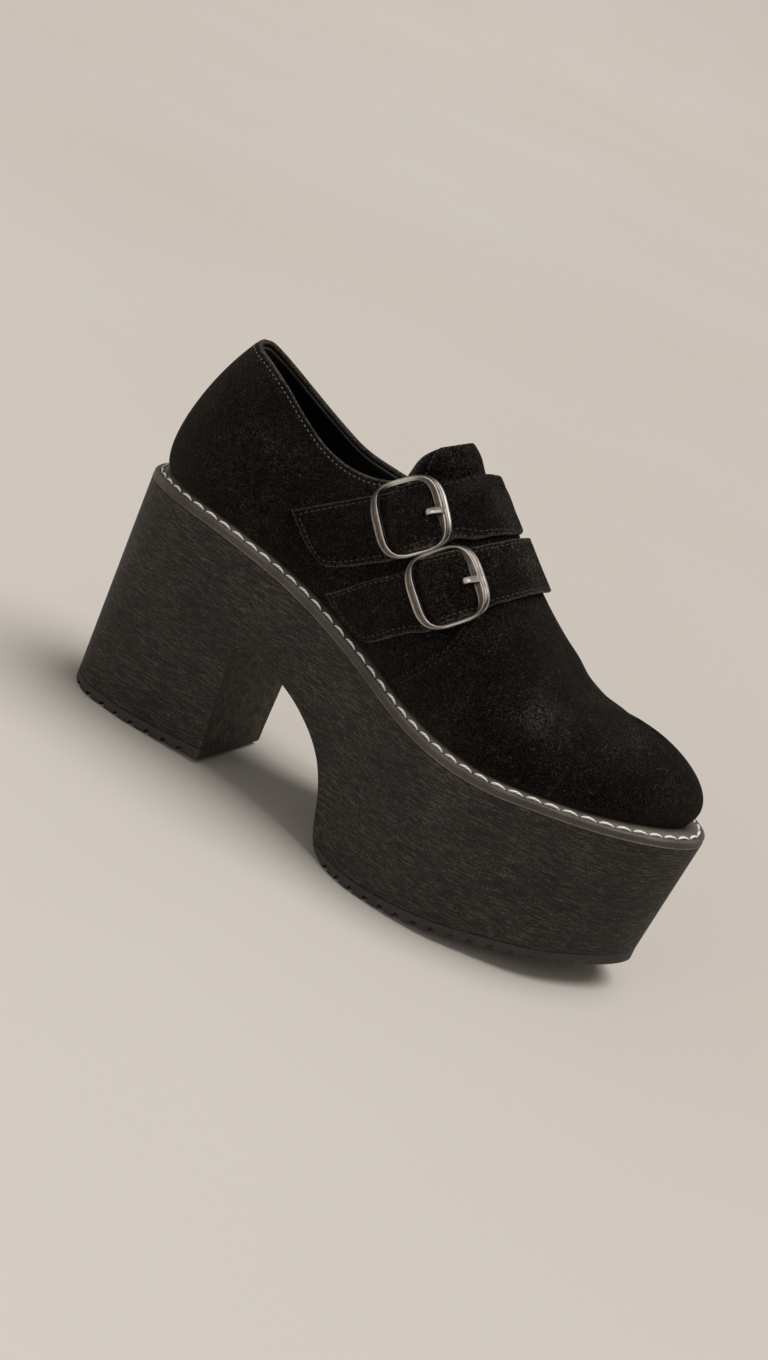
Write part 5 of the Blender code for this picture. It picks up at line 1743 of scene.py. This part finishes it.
# %% Prongs, and both buckles
def make_prong(which):
    """A flat bar that is bent up through its hole and down again to its blunt tip."""
    x, z = path_of(PRONG, PRONG_STEPS)
    x = x + (BUCKLES[which]["hole"] - USUAL_HOLE) * (1 - ease(*PRONG_SHIFT, x))
    path = placed(which, np.stack([x, PRONG_TURN * (x - PRONG_PIVOT), z], 1))
    path[-1] = path[-2] + (path[-2] - path[-3]) * PRONG_CAP
    taper = np.interp(np.arange(PRONG_STEPS), *np.transpose(PRONG_TAPER))
    section = round_section(PRONG_ROUND, PRONG_WIDE, PRONG_THICK, PRONG_SQUARE, taper)
    points, faces = carried(path, section, buckle_axes(which)[2])
    travelled = length_along(points, 0)
    round_it = np.broadcast_to(np.arange(PRONG_ROUND) * 0.5, travelled.shape)
    uv = np.stack([travelled, round_it], -1)
    # painted highlight on the prong's top
    wear = PRONG_WEAR + PRONG_TOP_HIGHLIGHT * (section[..., 1] > 0.4)
    prong = make_piece(
        "prong_" + which, points, faces, nickel, "buckle_prong_" + which, uv=uv, sharp=50,
        wear=wear.ravel(),
    )


for which in BUCKLES:
    make_frame(which)
    make_prong(which)

# %% [markdown]
# ## Fine stitching
#
# The suede is sewn with stitches of about 1.7 mm and a small gap, lying in the furrow that
# they pull.  The collar's are shorter and of a lighter grey, and the vamp's are black.  A
# seam is a line on a surface with the normals of that surface, so the stitches stand square
# on it.

# %% Seams of the upper
FINE = dict(pitch=2.35, long=1.75, wide=0.42, thick=0.34, rise=0.10)
SHORT = dict(pitch=2.25, long=1.35, wide=0.50, thick=0.42, rise=0.12)
SUNK, STRAP_SUNK = -0.12, -0.17  # the thread's middle under the face
LINE_POINTS, SIDE_POINTS = 500, 300  # points of a long line, and of one up the side
VAMP_RISE, BACK_RISE = (0.03, 0.62), (0.04, 0.95)  # from which rise to which a seam is sewn


def collar_seam():
    """One line round the collar, from the throat over the heel and back."""
    share = np.linspace(0, THROAT - LIP_BLEND, LINE_POINTS)
    lines = []
    for side, wrap_of in ((0, lambda rise: rise), (1, lambda rise: 2 - rise)):
        high = np.interp(share, columns, side_high[side])
        rise = edge_height(share) - COLLAR_ROW / high
        lines.append(off_upper(share, wrap_of(rise), SUNK, with_normal=True))
    return np.concatenate([lines[0][::-1], lines[1][1:]])


def vamp_seams():
    """Two rows in front of the vamp's edge, on each side."""
    rise = np.linspace(*VAMP_RISE, SIDE_POINTS)
    return [
        off_upper(seam_share(rise) + off / SIDE_LONG, wrap, SUNK, with_normal=True)
        for off in SEAM_ROWS
        for wrap in (rise, 2 - rise)
    ]


def back_seams():
    """One row on each side of the heel's seam."""
    rise = np.linspace(*BACK_RISE, SIDE_POINTS)
    share = np.full(SIDE_POINTS, BACK_ROW / SIDE_LONG)
    return [off_upper(share, wrap, SUNK, with_normal=True) for wrap in (rise, 2 - rise)]


collar_thread = make_stitches("collar_stitching", [collar_seam()], grey_thread, **SHORT)
vamp_thread = make_stitches("vamp_stitching", vamp_seams(), black_thread, **FINE)
back_thread = make_stitches("back_stitching", back_seams(), black_thread, **FINE)


# %% Seams of tongue and straps
STRAP_BEND, TONGUE_BEND = 2.4, 3.5  # radius of a seam's corners
STRAP_ARC, TONGUE_ARC = 14, 16  # points of such a corner
TONGUE_INSET, TONGUE_START = 2.2, 4.0  # how far in from its edges, and from its front, it runs
TONGUE_POINTS = 400


def strap_seam(which):
    """Round the strap two millimetres in from its edges, turning its corners smoothly."""
    long, along_at = measured(which)
    near = SEAM_INSET + STRAP_BEND
    turn = np.linspace(0, math.pi / 2, STRAP_ARC)
    rows = []
    for x0, y0, dx, dy in (
        (near, near, -1, -1), (near, STRAP_WIDE - near, -1, 1),
        (long - near, STRAP_WIDE - near, 1, 1), (long - near, near, 1, -1),
    ):
        along, aside = STRAP_BEND * np.sin(turn), STRAP_BEND * np.cos(turn)
        arc = np.stack([x0 + dx * along, y0 + dy * aside], 1)
        rows.append(arc if dx == dy else arc[::-1])
    loop = spaced(np.concatenate([*rows, rows[0][:1]]), LINE_POINTS)[:-1]
    across = loop[:, 1] / STRAP_WIDE
    return strap_point(which, along_at(loop[:, 0], across), across, STRAP_THICK + STRAP_SUNK)


def tongue_seam():
    """Up one side of the tongue, across its top with round corners, and down the other."""
    inset, bend = TONGUE_INSET, TONGUE_BEND
    turn = np.linspace(0, math.pi / 2, TONGUE_ARC)
    far = TONGUE_LONG - inset - bend
    left = np.stack([far + bend * np.sin(turn), inset + bend - bend * np.cos(turn)], 1)
    right_side = np.stack([left[::-1, 0], TONGUE_WIDE - left[::-1, 1]], 1)
    ends = np.array([[TONGUE_START, inset], [TONGUE_START, TONGUE_WIDE - inset]])
    path = np.concatenate([ends[:1], left, right_side, ends[1:]])
    along, across = spaced(path, TONGUE_POINTS).T
    across = across / TONGUE_WIDE * 2 - 1
    return tongue_off(along / TONGUE_LONG, across, np.full_like(along, STRAP_SUNK))


tongue_thread = make_stitches("tongue_stitching", [tongue_seam()], dark_thread, **FINE)
for which in STRAPS:
    thread = make_stitches(
        f"strap_{which}_stitching", [strap_seam(which)], dark_thread, closed=True, **FINE,
    )

# %% [markdown]
# ## Floor and light
#
# The shoe stands on a pale, matt floor that curves up all round far away, so that no
# horizon shows.  The light is that of a studio: a dim pale sky, a very wide soft light from
# above, and a small one low in front that gives the buckles their bright rims.

# %% Floor
FLOOR_FLAT, FLOOR_RISE = 4.0, 3.0  # metres to the curve, and the curve's own radius
FLAT_ROWS, FLOOR_STEPS = 9, 96
PAINT_CLOUD = 1.4  # soft stains per metre
climb = np.linspace(0.1, 1.35, 14)
radius = np.concatenate([
    np.linspace(0.0, FLOOR_FLAT, FLAT_ROWS), FLOOR_FLAT + FLOOR_RISE * np.sin(climb),
])[:, None]
lift = np.concatenate([np.zeros(FLAT_ROWS), FLOOR_RISE * (1 - np.cos(climb))])[:, None]
spin = np.linspace(0, 2 * math.pi, FLOOR_STEPS, endpoint=False)
floor_grid = np.stack([radius * np.cos(spin), radius * np.sin(spin), lift + 0 * spin], -1)
floor_faces = grid_faces(*floor_grid.shape[:2], wrap_columns=True)
floor_mesh = bpy.data.meshes.new("floor")
floor_mesh.from_pydata(floor_grid.reshape(-1, 3), [], floor_faces.tolist())
cleaned(floor_mesh, 0.0001, outwards=False)
floor_paint, tree, shader = start_material(
    "warm_plaster_matt", Roughness=0.9, Specular_IOR_Level=0.1,
)
place = add(tree, "TexCoord").outputs["Object"]
stains = add(tree, "TexNoise", {"Vector": place, "Scale": PAINT_CLOUD, "Detail": 4.0})
paint = add(tree, "ValToRGB", {"Fac": stains.outputs["Fac"]}, stops=[
    (0.3, "#cfc7bd"), (0.7, "#d4cdc4"),
])
tree.links.new(paint.outputs["Color"], shader.inputs["Base Color"])
floor_mesh.materials.append(floor_paint)
floor = bpy.data.objects.new("floor", floor_mesh)
bpy.context.scene.collection.objects.link(floor)
print("floor", round(2 * (FLOOR_FLAT + FLOOR_RISE)), "m across")

# %% Light
world = bpy.data.worlds.new("studio")
bpy.context.scene.world = world
world.use_nodes = True
sky = world.node_tree.nodes["Background"]
sky.inputs["Color"].default_value = linear("#fbf9f6")
sky.inputs["Strength"].default_value = 0.25


def lamp(name, kind, place, aim, power, **shape):
    """A lamp at a place, turned to its aim."""
    data = bpy.data.lights.new(name, kind)
    data.energy = power
    for key, value in shape.items():
        setattr(data, key, value)
    made = bpy.data.objects.new(name, data)
    made.location = place
    made.rotation_euler = (Vector(aim) - Vector(place)).to_track_quat("-Z", "Y").to_euler()
    bpy.context.scene.collection.objects.link(made)


lamp("key", "SUN", (0.30, 0.12, 0.94), (0, 0, 0), 2.25, angle=math.radians(40))
lamp("front", "AREA", (-0.25, -1.3, 0.4), (0.0, 0, 0.06), 3.0, size=0.8)
bpy.context.scene.view_settings.view_transform = "Standard"
print("sky", sky.inputs["Strength"].default_value, "and lamps", list(bpy.data.lights.keys()))
